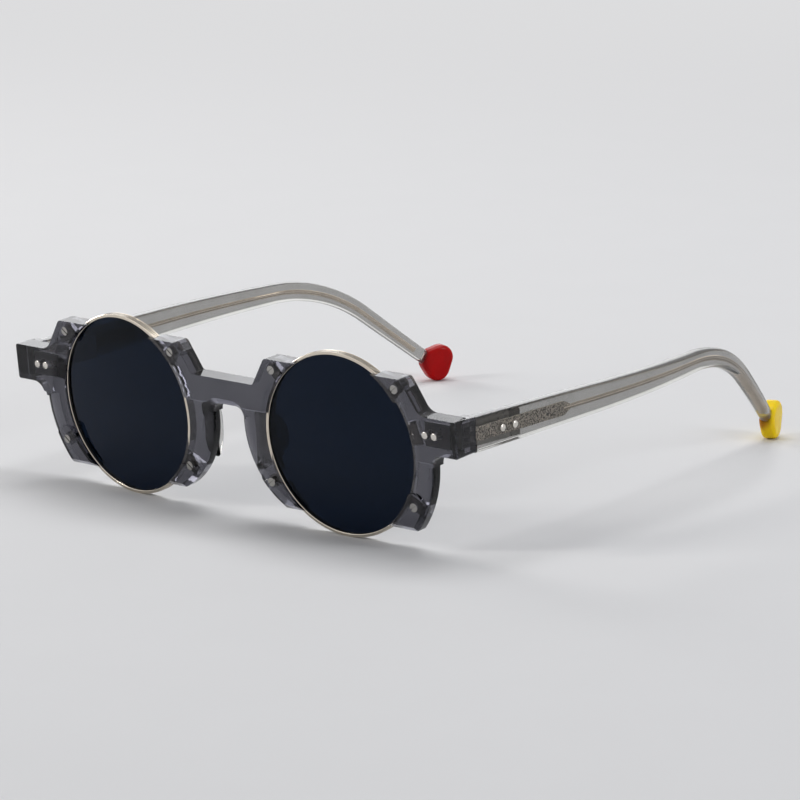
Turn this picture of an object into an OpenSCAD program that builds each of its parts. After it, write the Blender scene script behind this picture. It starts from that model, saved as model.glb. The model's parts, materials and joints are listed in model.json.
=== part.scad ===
// Round sunglasses: a bridge piece and two end pieces of clear acetate clasp
// two milled metal rims, and cored acetate temples fold on five-barrel hinges.
// +X is the wearer's left, the glasses look along -Y, and the rims and the
// temple tips stand on z = 0.

/* [Lenses] */
// Diameter of the opening that each rim leaves round its lens
lens_opening = 45; // [42:0.5:48]
// Distance between the two lens centres
lens_spacing = 72.7; // [70:0.1:77]
// Radius of the curved lens faces
lens_curve_r = 260; // [150:5:500]
// Thickness of a lens at its edge
lens_edge_t = 1.1; // [1:0.1:1.2]
// How far a lens reaches into the groove of its rim
groove_depth = 0.4; // [0.3:0.05:0.45]

/* [Front] */
// Forward lean of the front at its top, in degrees
tilt = 4.9; // [0:0.1:10]
// Outward turn of each lens and rim, in degrees
wrap = 3.5; // [1:0.5:5]
// Depth of the acetate from front to back
acetate_t = 4.6; // [4.4:0.1:6]
// Front face of the bridge piece, ahead of the lens centres
bridge_ahead = 2; // [1.9:0.1:2.6]
// Front face of the end pieces, ahead of the lens centres
end_ahead = 0.5; // [0.3:0.1:0.8]

/* [Rims] */
// Radial thickness of a rim
rim_wall = 0.8; // [0.75:0.05:1.1]
// Depth of a rim from front to back
rim_depth = 2; // [1.9:0.1:2.6]
// Saw cut where the closing block draws the rim together
split_gap = 0.3; // [0.2:0.05:0.5]
// Height of each half of the closing block
block_h = 2.4; // [2:0.1:2.8]
// How far the closing block stands out from the rim
block_reach = 2.8; // [2.4:0.1:3]
// Depth of the closing block from front to back
block_depth = 1.7; // [1.6:0.1:1.8]
// Angle of the closing block above the horizontal
block_angle = 14; // [8:1:15]

/* [Claws] */
// Height of the level top edge of the upper claws above the lens centres
claw_top = 19.4; // [18.5:0.1:20.5]
// Depth of the level bottom edge of the lower claws below the lens centres
claw_bottom = 18.6; // [17.5:0.1:19.5]
// Width of the outer lower claws outside their rim
claw_w = 5.9; // [5.4:0.1:6.5]
// Slope of the shoulders of the upper claws, in degrees
shoulder_slope = 58; // [54:1:64]
// Length of the top edge of an upper claw, from the lens centre outwards
claw_top_w = 21.4; // [20.5:0.1:22]
// How far a claw covers the front of its rim
claw_lip = 0.75; // [0.4:0.05:0.8]
// Chamfer along the front of each claw beside the lens
claw_chamfer = 0.5; // [0.3:0.1:0.9]
// Width of the sloping channel beside the rim on an end piece, between its claw screws
outer_channel_w = 3.4; // [2:0.1:3.6]
// Depth of that channel
outer_channel_depth = 1.5; // [0.8:0.1:1.6]
// Width of the same channel on the bridge piece
inner_channel_w = 2; // [1:0.1:2.4]
// Depth of that channel
inner_channel_depth = 0.6; // [0.3:0.05:0.6]
// Depth of the recess in the front of each lower limb
limb_recess = 0.6; // [0.3:0.1:1]
// Upper end of the recess in the outer limbs, from the lens centre
outer_recess_top = -0.4; // [-2:0.1:0.4]
// Upper end of the recess in the inner limbs, from the lens centre
inner_recess_top = 5.4; // [3:0.1:5.8]
// Radius of the raised foot round each lower claw screw
foot_r = 3.4; // [3:0.1:3.8]
// Width of the rounding along the front of the inner limbs, on the nose side
inner_bevel_w = 3.1; // [1.5:0.1:3.2]
// Depth of that rounding
inner_bevel_depth = 1; // [0.6:0.1:1.6]
// Width of the bevel along the front of the outer limbs
outer_bevel_w = 1.5; // [0.8:0.1:2]
// Depth of that bevel
outer_bevel_depth = 0.9; // [0.5:0.1:1.3]
// Bevel round the front of the feet
foot_bevel = 1.2; // [0.6:0.1:1.4]
// Bevel along the back of the lower limbs
back_bevel = 1.2; // [0.4:0.1:1.4]
// Rounding of the convex corners of the acetate outlines
corner_r = 1.3; // [0.6:0.1:1.6]

/* [Bridge] */
// Height of the top edge of the bridge above the lens centres
bridge_top = 12.1; // [11:0.1:13]
// Height of the underside of the bridge above the lens centres
bridge_under = 5.2; // [4.8:0.1:6]
// Height of the bevel along the front of the underside
bridge_bevel = 1.8; // [0.8:0.1:2.2]
// Depth of that bevel
bridge_bevel_depth = 1.4; // [0.8:0.1:2]
// Half of the gap between the inner limbs, at the height of the lens centres
nose_half_gap = 5.05; // [4.8:0.05:5.6]
// Radius of the nose side of each inner limb
nose_side_r = 22.5; // [21.5:0.1:23]
// Height of the centre of that radius above the lens centres
nose_side_v = 1.3; // [0.8:0.1:1.8]
// Fillet under the bridge
bridge_fillet = 2.6; // [1.5:0.1:3.2]

/* [End pieces] */
// How far an end piece reaches outwards from its rim
end_reach = 14.85; // [14:0.05:18]
// Height of the top edge of an end piece above the lens centres
end_top = 11.1; // [10.6:0.1:11.8]
// Height of the underside of an end piece above the lens centres
end_under = 2; // [1.6:0.1:2.6]
// Concave fillet between a claw and its end piece
end_fillet = 3.6; // [2:0.1:4.2]
// How far the outer lug reaches behind the back of the acetate
lug_behind = 1.9; // [1.8:0.1:2.4]

/* [Nose pads] */
// Height of a nose pad
pad_h = 14.8; // [12:0.2:16]
// How far a nose pad stands behind the bridge piece
pad_depth = 5.8; // [5:0.1:7]
// Distance of a nose pad from the nose side of its limb
pad_inset = 2.4; // [1.4:0.1:2.8]
// Thickness of a nose pad
pad_t = 2.6; // [2.2:0.1:3]
// Outward splay of a nose pad, in degrees
pad_splay = 31; // [24:1:36]
// Height of the middle of a nose pad relative to the lens centres
pad_v = -2.9; // [-4:0.1:-1]

/* [Claw screws] */
// Distance of each claw screw outside its rim
claw_screw_reach = 2.3; // [2.1:0.1:2.7]
// Angle of the upper claw screws above the horizontal
upper_screw_angle = 41; // [38:1:46]
// Angle of the lower claw screws below the horizontal
lower_screw_angle = 28.5; // [25:0.5:32]
// Radius of the shank of a claw screw
claw_shank_r = 0.6; // [0.5:0.05:0.7]
// Radius of the head of a claw screw
claw_head_r = 1.1; // [0.9:0.05:1.2]
// Height of the head of a claw screw
claw_head_h = 0.6; // [0.4:0.05:0.8]
// Width of each lug that is soldered to a rim
lug_w = 3; // [2.6:0.1:3.4]
// Thickness of each lug
lug_t = 0.9; // [0.8:0.1:1]

/* [Hinges] */
// Height of a hinge
hinge_h = 6; // [5:0.1:6.4]
// Radius of a hinge barrel
barrel_r = 1.3; // [1.25:0.05:1.4]
// Thickness of the hinge leaves
leaf_t = 1; // [0.8:0.05:1.1]
// Distance from the hinge axis to the inner face of the temple leaf
leaf_offset = 0.75; // [0.65:0.05:0.9]
// Length of the leaf on the end piece
front_leaf_l = 6.4; // [6:0.1:7]
// Length of the leaf on the temple
temple_leaf_l = 17.5; // [16.5:0.5:20]
// Radius of the shank of a hinge screw
hinge_pin_r = 0.6; // [0.5:0.05:0.65]
// Radius of the head of a hinge screw
hinge_head_r = 1; // [0.9:0.05:1.05]
// Height of the head of a hinge screw
hinge_head_h = 0.5; // [0.3:0.05:0.6]

/* [Rivets] */
// Radius of the rivets
rivet_r = 0.9; // [0.7:0.05:0.95]
// Distance of the first front rivet from the hinge axis
front_rivet_1 = 1.8; // [1.5:0.1:1.9]
// Distance of the second front rivet from the first
front_rivet_step = 2.9; // [2.6:0.1:3.2]
// Distance of the first temple rivet from the hinge axis
temple_rivet_1 = 9.5; // [8:0.1:10.5]
// Distance of the second temple rivet from the first
temple_rivet_step = 4.4; // [4:0.1:5]

/* [Temples] */
// Height of a temple at the hinge
temple_front_h = 8.6; // [8:0.1:9]
// Height of a temple where the ear bend starts
temple_bend_h = 5.3; // [4.6:0.1:5.8]
// Height of a temple at its end
temple_end_h = 3.7; // [3:0.1:4]
// Thickness of a temple at the hinge
temple_front_t = 3.75; // [3.6:0.05:3.9]
// Thickness of a temple at its end
temple_end_t = 3.2; // [2.8:0.1:3.5]
// Outward flare of the temples, in degrees
temple_flare = 1.95; // [0:0.05:2.5]
// Rise of the middle of the temples, in degrees
temple_rise = 1.15; // [0.5:0.05:2]
// Distance from the hinge to the start of the ear bend
ear_bend_at = 86; // [80:1:94]
// Radius of the ear bend
ear_bend_r = 46; // [38:0.5:52]
// Downward angle of the temple behind the ear bend
ear_drop = 38; // [34:0.1:42]
// Distance from the hinge to the start of the inward curve
curve_at = 44; // [38:1:50]
// Radius of the inward curve of a temple
curve_r = 225; // [215:1:260]

/* [Core wires] */
// Height of the shield plate at the front of a core wire
shield_h = 3.4; // [3:0.1:3.6]
// Thickness of the shield plate
shield_t = 0.8; // [0.6:0.1:1]
// Distance from the hinge to the end of the shield plate's straight part
shield_l = 32; // [24:1:34]
// Length of the point of the shield plate
shield_point = 3.6; // [2.5:0.1:5]
// Radius of the wire
wire_r = 0.6; // [0.5:0.05:0.7]
// Distance from the end of the wire to the end of its temple
wire_short = 7; // [6:0.5:12]

/* [Tips] */
// Length of a tip along its temple
tip_w = 9.6; // [8.4:0.1:9.8]
// Height of a tip
tip_h = 10; // [9:0.1:10.6]
// Thickness of a tip
tip_t = 4.2; // [3.8:0.1:4.6]
// Rounding of the corners of a tip
tip_r = 3.6; // [2.6:0.1:3.8]
// Chamfer round the faces of a tip
tip_chamfer = 0.8; // [0.3:0.1:1]
// How far the middle of a tip lies behind the end of its temple
tip_behind = 1.6; // [0.8:0.1:1.8]
// Height of the end of a temple above the ground
temple_end_z = 5.2; // [4.8:0.1:6]

/* [Fits] */
// Clearance round the rims and lenses in their seats
seat_clear = 0.05; // [0.02:0.01:0.08]
// Clearance round the lugs and closing blocks in their pockets
pocket_clear = 0.15; // [0.08:0.01:0.25]
// Clearance round the core wires and the temple ends in the acetate
core_clear = 0.02; // [0.01:0.01:0.05]
// Radial clearance of the hinge screws in the barrels
pin_clear = 0.04; // [0.02:0.01:0.06]
// Radial clearance of the claw screws and rivets in their holes
hole_clear = 0.02; // [0.01:0.005:0.04]
// Gap between neighbouring hinge barrels
barrel_gap = 0.08; // [0.04:0.01:0.15]
// Gap between a temple and its end piece when open
butt_gap = 0.1; // [0.05:0.01:0.2]
// Gap between the hinge barrels and the lug of the end piece
lug_gap = 0.25; // [0.15:0.05:0.35]

/* [Hidden] */

// Colours of the materials
smoke = [0.36, 0.36, 0.42];
clear_grey = [0.55, 0.54, 0.53];
pale_gold = [0.83, 0.79, 0.71];
silver = [0.78, 0.77, 0.75];
lens_blue = [0.1, 0.14, 0.2];
tip_red = [0.75, 0.02, 0.03];
tip_yellow = [0.93, 0.76, 0.05];

round_fn = 96;
fillet_fn = 40;
far = 60;

// Rims and lenses, measured in the plane of a lens
lens_x = lens_spacing / 2;
rim_in_r = lens_opening / 2;
rim_out_r = rim_in_r + rim_wall;
groove_r = rim_in_r + groove_depth + seat_clear;
lens_r = rim_in_r + groove_depth;
lens_front_w = (rim_depth - lens_edge_t) / 2;
lip_r = rim_out_r - claw_lip;
seat_r = rim_out_r + seat_clear;
claw_r = rim_out_r + claw_w;
claw_screw_r = rim_out_r + claw_screw_reach;
front_half_w = lens_x + rim_out_r + end_reach;
lens_h = rim_out_r * cos(tilt);

// Acetate of the front, measured square to its front face
bridge_back = acetate_t - bridge_ahead;
end_back = acetate_t - end_ahead;
shoulder_run = 1 / tan(shoulder_slope);
nose_side_u = lens_x - nose_half_gap - nose_side_r;

inner_bevel = [inner_bevel_w, inner_bevel_depth];
outer_bevel = [outer_bevel_w, outer_bevel_depth];
inner_round_top = bridge_under - bridge_fillet;
outer_round_top = end_under - end_fillet;
inner_channel = [inner_channel_w, inner_channel_depth];
outer_channel = [outer_channel_w, outer_channel_depth];

// Lugs and closing blocks, across the depth of a rim
lug_out_r = claw_screw_r + lug_w / 2;
lug_w_back = rim_depth - 0.1;
block_w_mid = rim_depth - block_depth / 2 - 0.1;
block_screw_r = 0.45;
block_head_r = 0.75;
block_head_h = 0.5;
block_screw_u = rim_out_r + block_reach / 2;

// Hinges
hinge_x = front_half_w - temple_front_t - leaf_t - leaf_offset;
hinge_y = end_back + lug_behind;
hinge_z = lens_h + (end_top + end_under) / 2 * cos(tilt);
barrels = 5;
barrel_pitch = hinge_h / barrels;
barrel_h = barrel_pitch - barrel_gap;
leaf_front_y = hinge_y - barrel_r - leaf_t - 0.5;
leaf_start = barrel_r + 0.3;

// Temple side profile: straight, ear bend, straight
temple_x = leaf_offset + leaf_t + temple_front_t / 2;
bend_turn = temple_rise + ear_drop;
bend_len = ear_bend_r * bend_turn * PI / 180;
bend_p0 = ear_bend_at * cos(temple_rise);
bend_z0 = hinge_z + ear_bend_at * sin(temple_rise);
bend_p1 = bend_p0 + ear_bend_r * (sin(temple_rise) + sin(ear_drop));
bend_z1 = bend_z0 + ear_bend_r * (cos(ear_drop) - cos(temple_rise));
drop_len = (bend_z1 - temple_end_z) / sin(ear_drop);
temple_len = ear_bend_at + bend_len + drop_len;
temple_rings = 44;
wire_rings = 30;
taper_power = 1.3;

// Place of a tip: the end of its temple
end_p = bend_p1 + drop_len * cos(ear_drop);
end_turn = (end_p - curve_at) / curve_r * 180 / PI;
tip_at_x = temple_x - curve_r * (1 - cos(end_turn)) - (tip_behind - 0.6) * sin(end_turn);
tip_at_y = curve_at + curve_r * sin(end_turn) + tip_behind * cos(end_turn);
tip_heading = end_turn - temple_flare;
tip_world_y = hinge_y + tip_at_y * cos(temple_flare) - tip_at_x * sin(temple_flare);
tip_reach = max(
    tip_w / 2 * cos(tip_heading) + (tip_t / 2 - tip_chamfer) * sin(tip_heading),
    (tip_w / 2 - tip_chamfer) * cos(tip_heading) + tip_t / 2 * sin(tip_heading));

// The origin stands under the middle of the whole
front_most_y = -bridge_ahead * cos(tilt) - claw_top * sin(tilt);
middle_y = (front_most_y + tip_world_y + tip_reach) / 2;

// Depth, in a lens plane, of an acetate front face at the distance u from the lens centre
function face_w(ahead, u) = (-ahead - u * sin(wrap)) / cos(wrap);

// A point of the side profile at the length s: distance, height and slope
function side_profile(s) =
    s <= ear_bend_at ?
        [s * cos(temple_rise), hinge_z + s * sin(temple_rise), temple_rise] :
    s <= ear_bend_at + bend_len ?
        let (a = temple_rise - (s - ear_bend_at) / ear_bend_r * 180 / PI)
        [bend_p0 + ear_bend_r * (sin(temple_rise) - sin(a)),
         bend_z0 + ear_bend_r * (cos(a) - cos(temple_rise)), a] :
        let (d = s - ear_bend_at - bend_len)
        [bend_p1 + d * cos(ear_drop), bend_z1 - d * sin(ear_drop), -ear_drop];

// The plan at the distance p: x, y and inward turn
function plan(p) =
    p <= curve_at ? [temple_x, p, 0] :
    let (b = (p - curve_at) / curve_r * 180 / PI)
    [temple_x - curve_r * (1 - cos(b)), curve_at + curve_r * sin(b), b];

function section_h(s) =
    s <= ear_bend_at ?
        temple_bend_h + (temple_front_h - temple_bend_h) * (1 - pow(s / ear_bend_at, taper_power)) :
        temple_bend_h + (temple_end_h - temple_bend_h) * (s - ear_bend_at) / (temple_len - ear_bend_at);

function section_t(s) = temple_front_t + (temple_end_t - temple_front_t) * s / temple_len;

// A point a outwards and b upwards of the middle line at the length s
function temple_point(s, a, b) =
    let (q = side_profile(s), m = plan(q[0]))
    [m[0] + a * cos(m[2]) + b * sin(q[2]) * sin(m[2]),
     m[1] + a * sin(m[2]) - b * sin(q[2]) * cos(m[2]),
     q[1] + b * cos(q[2])];

// Rounded rectangle of the temple section at the length s
function temple_ring(s, grow) =
    let (hw = section_t(s) / 2 + grow, hh = section_h(s) / 2 + grow,
         r = 0.8 + 0.6 * s / temple_len)
    [for (corner = [[1, -1, 270], [1, 1, 0], [-1, 1, 90], [-1, -1, 180]])
     for (turn = [0, 45, 90])
        let (a = corner[2] + turn)
        temple_point(s, corner[0] * (hw - r) + r * cos(a), corner[1] * (hh - r) + r * sin(a))];

function wire_ring(s, r) = [for (i = [0:11]) temple_point(s, r * cos(i * 30), r * sin(i * 30))];

// Solid through equal rings of points
module skin(rings) {
    n = len(rings[0]);
    last = len(rings) - 1;
    points = [for (ring = rings) for (p = ring) p];
    sides = [for (k = [0:last - 1]) for (i = [0:n - 1]) for (half = [0, 1])
        let (j = (i + 1) % n, a = k * n, b = (k + 1) * n)
        half == 0 ? [a + i, b + j, b + i] : [a + i, a + j, b + j]];
    caps = [[for (i = [n - 1:-1:0]) i], [for (i = [0:n - 1]) last * n + i]];
    polyhedron(points, concat(sides, caps));
}

// Whole glasses, with the origin on the ground under their middle
module on_ground() translate([0, -middle_y, 0]) children();

// The wearer's left is drawn, and the right is its mirror image
module left() on_ground() children();
module right() on_ground() mirror([1, 0, 0]) children();

// Frame of the tilted front: x sideways, y backwards, z up from the lens centres
module front_frame() translate([0, 0, lens_h]) rotate([tilt, 0, 0]) children();

// Frame of the left lens, with z along the lens axis, backwards
module lens_frame() front_frame() in_front() children();
module in_front() translate([lens_x, 0, 0]) rotate([0, 0, wrap]) rotate([-90, 0, 0]) mirror([0, 1, 0]) children();

// Slab with an outline in the plane of the front, between two depths
module slab(from, to) translate([0, to, 0]) rotate([90, 0, 0]) linear_extrude(to - from) children();

// Frame of the left temple: the hinge axis is z, the temple runs along y
module temple_frame() translate([hinge_x, hinge_y, 0]) rotate([0, 0, -temple_flare]) children();

module round_corners(convex, concave) {
    offset(r = convex, $fn = fillet_fn) offset(delta = -convex)
    offset(r = -concave, $fn = fillet_fn) offset(delta = concave)
    children();
}

// Half plane above or below a height, wide enough for any outline
module above(v) translate([-far, v]) square([2 * far, far]);

// Places of the claw screws in the plane of a lens: outwards, upwards
outer_screws = [for (a = [upper_screw_angle, -lower_screw_angle]) claw_screw_r * [cos(a), sin(a)]];
inner_screws = [for (p = outer_screws) [-p[0], p[1]]];

module upper_claw_outline(side, run_down_to) {
    run = (claw_top - run_down_to) * shoulder_run;
    polygon([[side * 6, claw_top], [side * claw_top_w, claw_top],
             [side * (claw_top_w + run), run_down_to], [side * 18, run_down_to]]);
}

module end_outline() {
    end_u = front_half_w - lens_x;
    round_corners(corner_r, end_fillet) {
        upper_claw_outline(1, end_top - 2);
        translate([24, end_under]) square([end_u - 24, end_top - end_under]);
        intersection() {
            circle(claw_r, $fn = round_fn);
            difference() {
                translate([8, -claw_bottom]) square([far, claw_bottom + end_top - 1]);
                above(end_top - 1);
            }
        }
    }
}

// Lower limb and foot beside the nose, a round edge on the nose side
module inner_limb_outline() {
    intersection() {
        translate([-nose_side_u, nose_side_v]) circle(nose_side_r, $fn = round_fn);
        translate([-far, -claw_bottom]) square([far - 8, claw_bottom + bridge_under]);
    }
}

module bridge_bar_outline() {
    translate([-lens_x, bridge_under]) square([lens_x - 20, bridge_top - bridge_under]);
}

module half_bridge_outline() {
    round_corners(corner_r, 0.8) {
        upper_claw_outline(-1, bridge_under);
        bridge_bar_outline();
        translate([-lens_x - 5, bridge_under]) square([10, bridge_top - bridge_under]);
    }
    round_corners(corner_r, bridge_fillet) {
        inner_limb_outline();
        bridge_bar_outline();
        translate([-lens_x - 5, bridge_under]) square([10, bridge_top - bridge_under]);
        mirrored_limb();
    }
}

// The other limb, so that the fillets under the bridge meet
module mirrored_limb() translate([-2 * lens_x, 0]) mirror([1, 0]) inner_limb_outline();

// Recess and rounding of a lower limb down to its raised foot, from the centre of its round edge
module limb_recess_room(screw, r, bevel, top, round_top, ahead) {
    front = -ahead + limb_recess;
    difference() {
        union() {
            translate([-far, -ahead - 1, screw[1]]) cube([2 * far, 1 + limb_recess, top - screw[1]]);
            intersection() {
                edge_rounding(r, bevel, front, ahead + 1);
                translate([-far, -far, screw[1]]) cube([2 * far, 2 * far, round_top - screw[1]]);
            }
        }
        translate([screw[0], -ahead - 2, screw[1]]) rotate([-90, 0, 0])
            cylinder(h = limb_recess + bevel[1] + 2, r1 = foot_r - 0.7, r2 = foot_r + 0.7, $fn = round_fn);
    }
}

// Ring that rounds the front edge of a round limb: its width, its depth and where it starts
module edge_rounding(r, bevel, front, room) {
    steps = 5;
    rotate([-90, 0, 0]) rotate_extrude($fn = round_fn) polygon(concat(
        [[r - bevel[0], front - room], [r + 1, front - room], [r + 1, front + bevel[1]]],
        [for (i = [0:steps]) let (a = 90 * i / steps)
            [r - bevel[0] * (1 - cos(a)), front + bevel[1] * (1 - sin(a))]]));
}

// Bevels round the front of a foot and along the back of a limb, below a height
module edge_bevels(r, top, ahead) {
    back = acetate_t - ahead;
    intersection() {
        rotate([-90, 0, 0]) union() {
            rotate_extrude($fn = round_fn) polygon([
                [r - foot_bevel, -ahead - 1], [r + 1, -ahead - 1],
                [r + 1, -ahead + foot_bevel + 1], [r - foot_bevel, -ahead]]);
            rotate_extrude($fn = round_fn) polygon([
                [r - back_bevel, back + 1], [r + 1, back + 1],
                [r + 1, back - back_bevel - 1], [r - back_bevel, back]]);
        }
        translate([-far, -far, top - far]) cube([2 * far, 2 * far, far]);
    }
}

// Bevel along the front of the level bottom edge of a claw
module bottom_bevel(ahead) {
    translate([0, -ahead, -claw_bottom + foot_bevel]) rotate([45, 0, 0])
        translate([-far, -far, -2 * foot_bevel]) cube([2 * far, far, 2 * foot_bevel]);
}

// Everything that a claw piece makes room for round the left rim
module rim_room(ahead, screws, channel) {
    in_front() {
        translate([0, 0, -far / 2]) cylinder(h = far, r = lip_r, $fn = round_fn);
        translate([0, 0, -seat_clear]) cylinder(h = far, r = seat_r, $fn = round_fn);
        for (p = screws) claw_screw_room(p, ahead);
    }
    translate([lens_x, 0, 0]) {
        lens_cone(ahead, [claw_chamfer, claw_chamfer]);
        rim_channel(ahead, screws, channel);
    }
}

// Cone in the front face round a lens, from its width at the front to nothing at its depth
module lens_cone(ahead, bevel) {
    translate([0, -ahead - 0.01, 0]) rotate([-90, 0, 0])
        cylinder(h = bevel[1], r1 = lip_r + bevel[0], r2 = lip_r - 0.05, $fn = round_fn);
}

// Sloping channel beside the rim that runs from the boss of one claw screw to the other
module rim_channel(ahead, screws, channel) {
    difference() {
        intersection() {
            lens_cone(ahead, channel);
            translate([-far, -far, screws[1][1]]) cube([2 * far, 2 * far, screws[0][1] - screws[1][1]]);
        }
        for (p = screws) translate([p[0], -far, p[1]]) rotate([-90, 0, 0])
            cylinder(h = 2 * far, r = foot_r, $fn = round_fn);
    }
}

module claw_screw_room(p, ahead) {
    face = face_w(ahead, p[0]);
    translate([p[0], p[1], face - 1]) cylinder(h = 1 + claw_head_h, r = claw_head_r + hole_clear, $fn = 32);
    translate([p[0], p[1], face]) cylinder(h = far / 4, r = claw_shank_r + hole_clear, $fn = 32);
    rotate([0, 0, atan2(p[1], p[0])])
        translate([rim_in_r, -lug_w / 2 - pocket_clear, lug_w_back - lug_t - pocket_clear])
        cube([lug_out_r - rim_in_r + pocket_clear, lug_w + 2 * pocket_clear, far / 4]);
}

module closing_block_room() {
    in_front() rotate([0, 0, block_angle])
        translate([rim_in_r, -block_h - split_gap / 2 - pocket_clear,
                   block_w_mid - block_depth / 2 - pocket_clear])
        cube([rim_wall + block_reach + pocket_clear,
              2 * block_h + split_gap + block_head_h + 2 * pocket_clear, far / 4]);
}

module bridge() color(smoke) on_ground() front_frame()
    difference() {
        slab(-bridge_ahead, bridge_back) for (side = [0, 1])
            mirror([side, 0]) translate([lens_x, 0]) half_bridge_outline();
        for (side = [0, 1]) mirror([side, 0, 0]) {
            rim_room(bridge_ahead, inner_screws, inner_channel);
            translate([lens_x - nose_side_u, 0, nose_side_v]) {
                limb_recess_room(inner_screws[1] + [nose_side_u, -nose_side_v], nose_side_r, inner_bevel,
                                 inner_recess_top - nose_side_v, inner_round_top - nose_side_v, bridge_ahead);
                edge_bevels(nose_side_r, inner_round_top - nose_side_v, bridge_ahead);
            }
        }
        bridge_arch_bevel();
        bottom_bevel(bridge_ahead);
    }

// Bevel under the bridge, with cones at its ends that run into the nose sides of the limbs
module bridge_arch_bevel() {
    flat = nose_half_gap - bridge_fillet;
    centre_v = bridge_under - bridge_fillet;
    front = -bridge_ahead - 0.01;
    for (side = [-1, 1]) translate([side * flat, front, centre_v]) rotate([-90, 0, 0])
        cylinder(h = bridge_bevel_depth, r1 = bridge_fillet + bridge_bevel, r2 = bridge_fillet, $fn = 64);
    translate([-flat, 0, 0]) rotate([90, 0, 90]) linear_extrude(2 * flat) polygon([
        [front, centre_v], [front, bridge_under + bridge_bevel],
        [front + bridge_bevel_depth, bridge_under], [front + bridge_bevel_depth, centre_v]]);
}

module end_piece() {
    difference() {
        front_frame() difference() {
            union() {
                translate([lens_x, 0, 0]) slab(-end_ahead, end_back) end_outline();
                intersection() {
                    slab(-end_ahead, end_back + 2 * lug_behind) lug_outline();
                    rotate([-tilt, 0, 0]) translate([0, -far, hinge_z - lens_h - far])
                        cube([2 * far, 2 * far, far + temple_front_h / 2 + 0.35]);
                }
            }
            rim_room(end_ahead, outer_screws, outer_channel);
            closing_block_room();
            translate([lens_x, 0, 0]) {
                limb_recess_room(outer_screws[1], claw_r, outer_bevel, outer_recess_top,
                                 outer_round_top, end_ahead);
                edge_bevels(claw_r, outer_round_top, end_ahead);
            }
            bottom_bevel(end_ahead);
        }
        temple_frame() translate([-far, -butt_gap, -far]) cube([2 * far, far, 3 * far]);
        front_leaf_plate(pocket_clear / 2);
        for (x = front_rivet_xs) translate([x, 0, rivet_z]) rotate([90, 0, 0])
            cylinder(h = far, r = rivet_r + hole_clear, center = true, $fn = 32);
    }
}

module lug_outline() {
    lug_in_x = hinge_x + barrel_r + lug_gap;
    round_corners(0.6, 0)
        translate([lug_in_x, end_under]) square([front_half_w - lug_in_x, end_top - end_under]);
}

// Grooved rim, cut through where its closing block draws it together
module rim() {
    groove_half = lens_edge_t / 2 + seat_clear;
    mid_w = rim_depth / 2;
    lens_frame() difference() {
        rotate_extrude($fn = round_fn) polygon([
            [rim_in_r, 0], [rim_out_r, 0], [rim_out_r, rim_depth], [rim_in_r, rim_depth],
            [rim_in_r, mid_w + groove_half], [groove_r, mid_w + groove_half],
            [groove_r, mid_w - groove_half], [rim_in_r, mid_w - groove_half]]);
        rotate([0, 0, block_angle]) translate([0, -split_gap / 2, -1]) cube([far, split_gap, far]);
    }
}

// Small drilled plates soldered round the rim, one behind each claw
module rim_lugs() {
    lens_frame() for (p = concat(outer_screws, inner_screws)) rotate([0, 0, atan2(p[1], p[0])])
        translate([0, 0, lug_w_back - lug_t]) difference() {
            union() {
                translate([rim_in_r, -lug_w / 2, 0]) cube([claw_screw_r - rim_in_r, lug_w, lug_t]);
                translate([claw_screw_r, 0, 0]) cylinder(h = lug_t, r = lug_w / 2, $fn = 48);
            }
            translate([0, 0, -1]) cylinder(h = far, r = rim_out_r, $fn = round_fn);
            translate([claw_screw_r, 0, -1]) cylinder(h = far, r = claw_shank_r + hole_clear, $fn = 32);
        }
}

// Two halves, above and below the cut in the rim, with a bore for their screw
module closing_block() {
    lens_frame() rotate([0, 0, block_angle]) difference() {
        for (side = [0, 1]) mirror([0, side, 0])
            translate([rim_in_r, split_gap / 2, block_w_mid - block_depth / 2])
            cube([rim_wall + block_reach, block_h, block_depth]);
        translate([0, 0, -1]) cylinder(h = far, r = rim_out_r, $fn = round_fn);
        translate([block_screw_u, 0, block_w_mid]) rotate([90, 0, 0])
            cylinder(h = far, r = block_screw_r + hole_clear, center = true, $fn = 32);
    }
}

module closing_screw() {
    top = block_h + split_gap / 2;
    lens_frame() rotate([0, 0, block_angle]) translate([block_screw_u, top, block_w_mid]) rotate([90, 0, 0]) {
        cylinder(h = 2 * top, r = block_screw_r, $fn = 32);
        difference() {
            translate([0, 0, -block_head_h]) cylinder(h = block_head_h, r = block_head_r, $fn = 32);
            translate([-0.1, -far, -block_head_h - 1]) cube([0.2, 2 * far, 1.25]);
        }
    }
}

// Lens with parallel curved faces and a flat edge for the groove
module lens() {
    steps = 8;
    front = [for (i = [0:steps]) let (r = lens_r * i / steps) [r, curve_w(r)]];
    lens_frame() translate([0, 0, lens_front_w]) rotate_extrude($fn = round_fn)
        polygon(concat(front, [for (i = [steps:-1:0]) front[i] + [0, lens_edge_t]]));
}

function curve_w(r) = sqrt(pow(lens_curve_r, 2) - pow(lens_r, 2)) - sqrt(pow(lens_curve_r, 2) - pow(r, 2));

// Clear half disc with a round edge, glued to the back of an inner limb and splayed outwards
module nose_pad() {
    disc_r = (pow(pad_h / 2, 2) + pow(pad_depth, 2)) / (2 * pad_depth);
    foot_x = nose_half_gap + pad_inset;
    edge = pad_t * 0.42;
    front_frame() difference() {
        translate([foot_x, bridge_back, pad_v]) rotate([0, 0, -pad_splay])
            translate([0, pad_depth / cos(pad_splay) - disc_r, 0]) rotate([0, 90, 0])
            rotate_extrude($fn = round_fn) union() {
                square([disc_r - edge, pad_t]);
                hull() for (w = [edge, pad_t - edge]) translate([disc_r - edge, w]) circle(edge, $fn = 24);
            }
        translate([-far, bridge_back - far, -far]) cube([2 * far, far, 2 * far]);
    }
}

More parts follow.
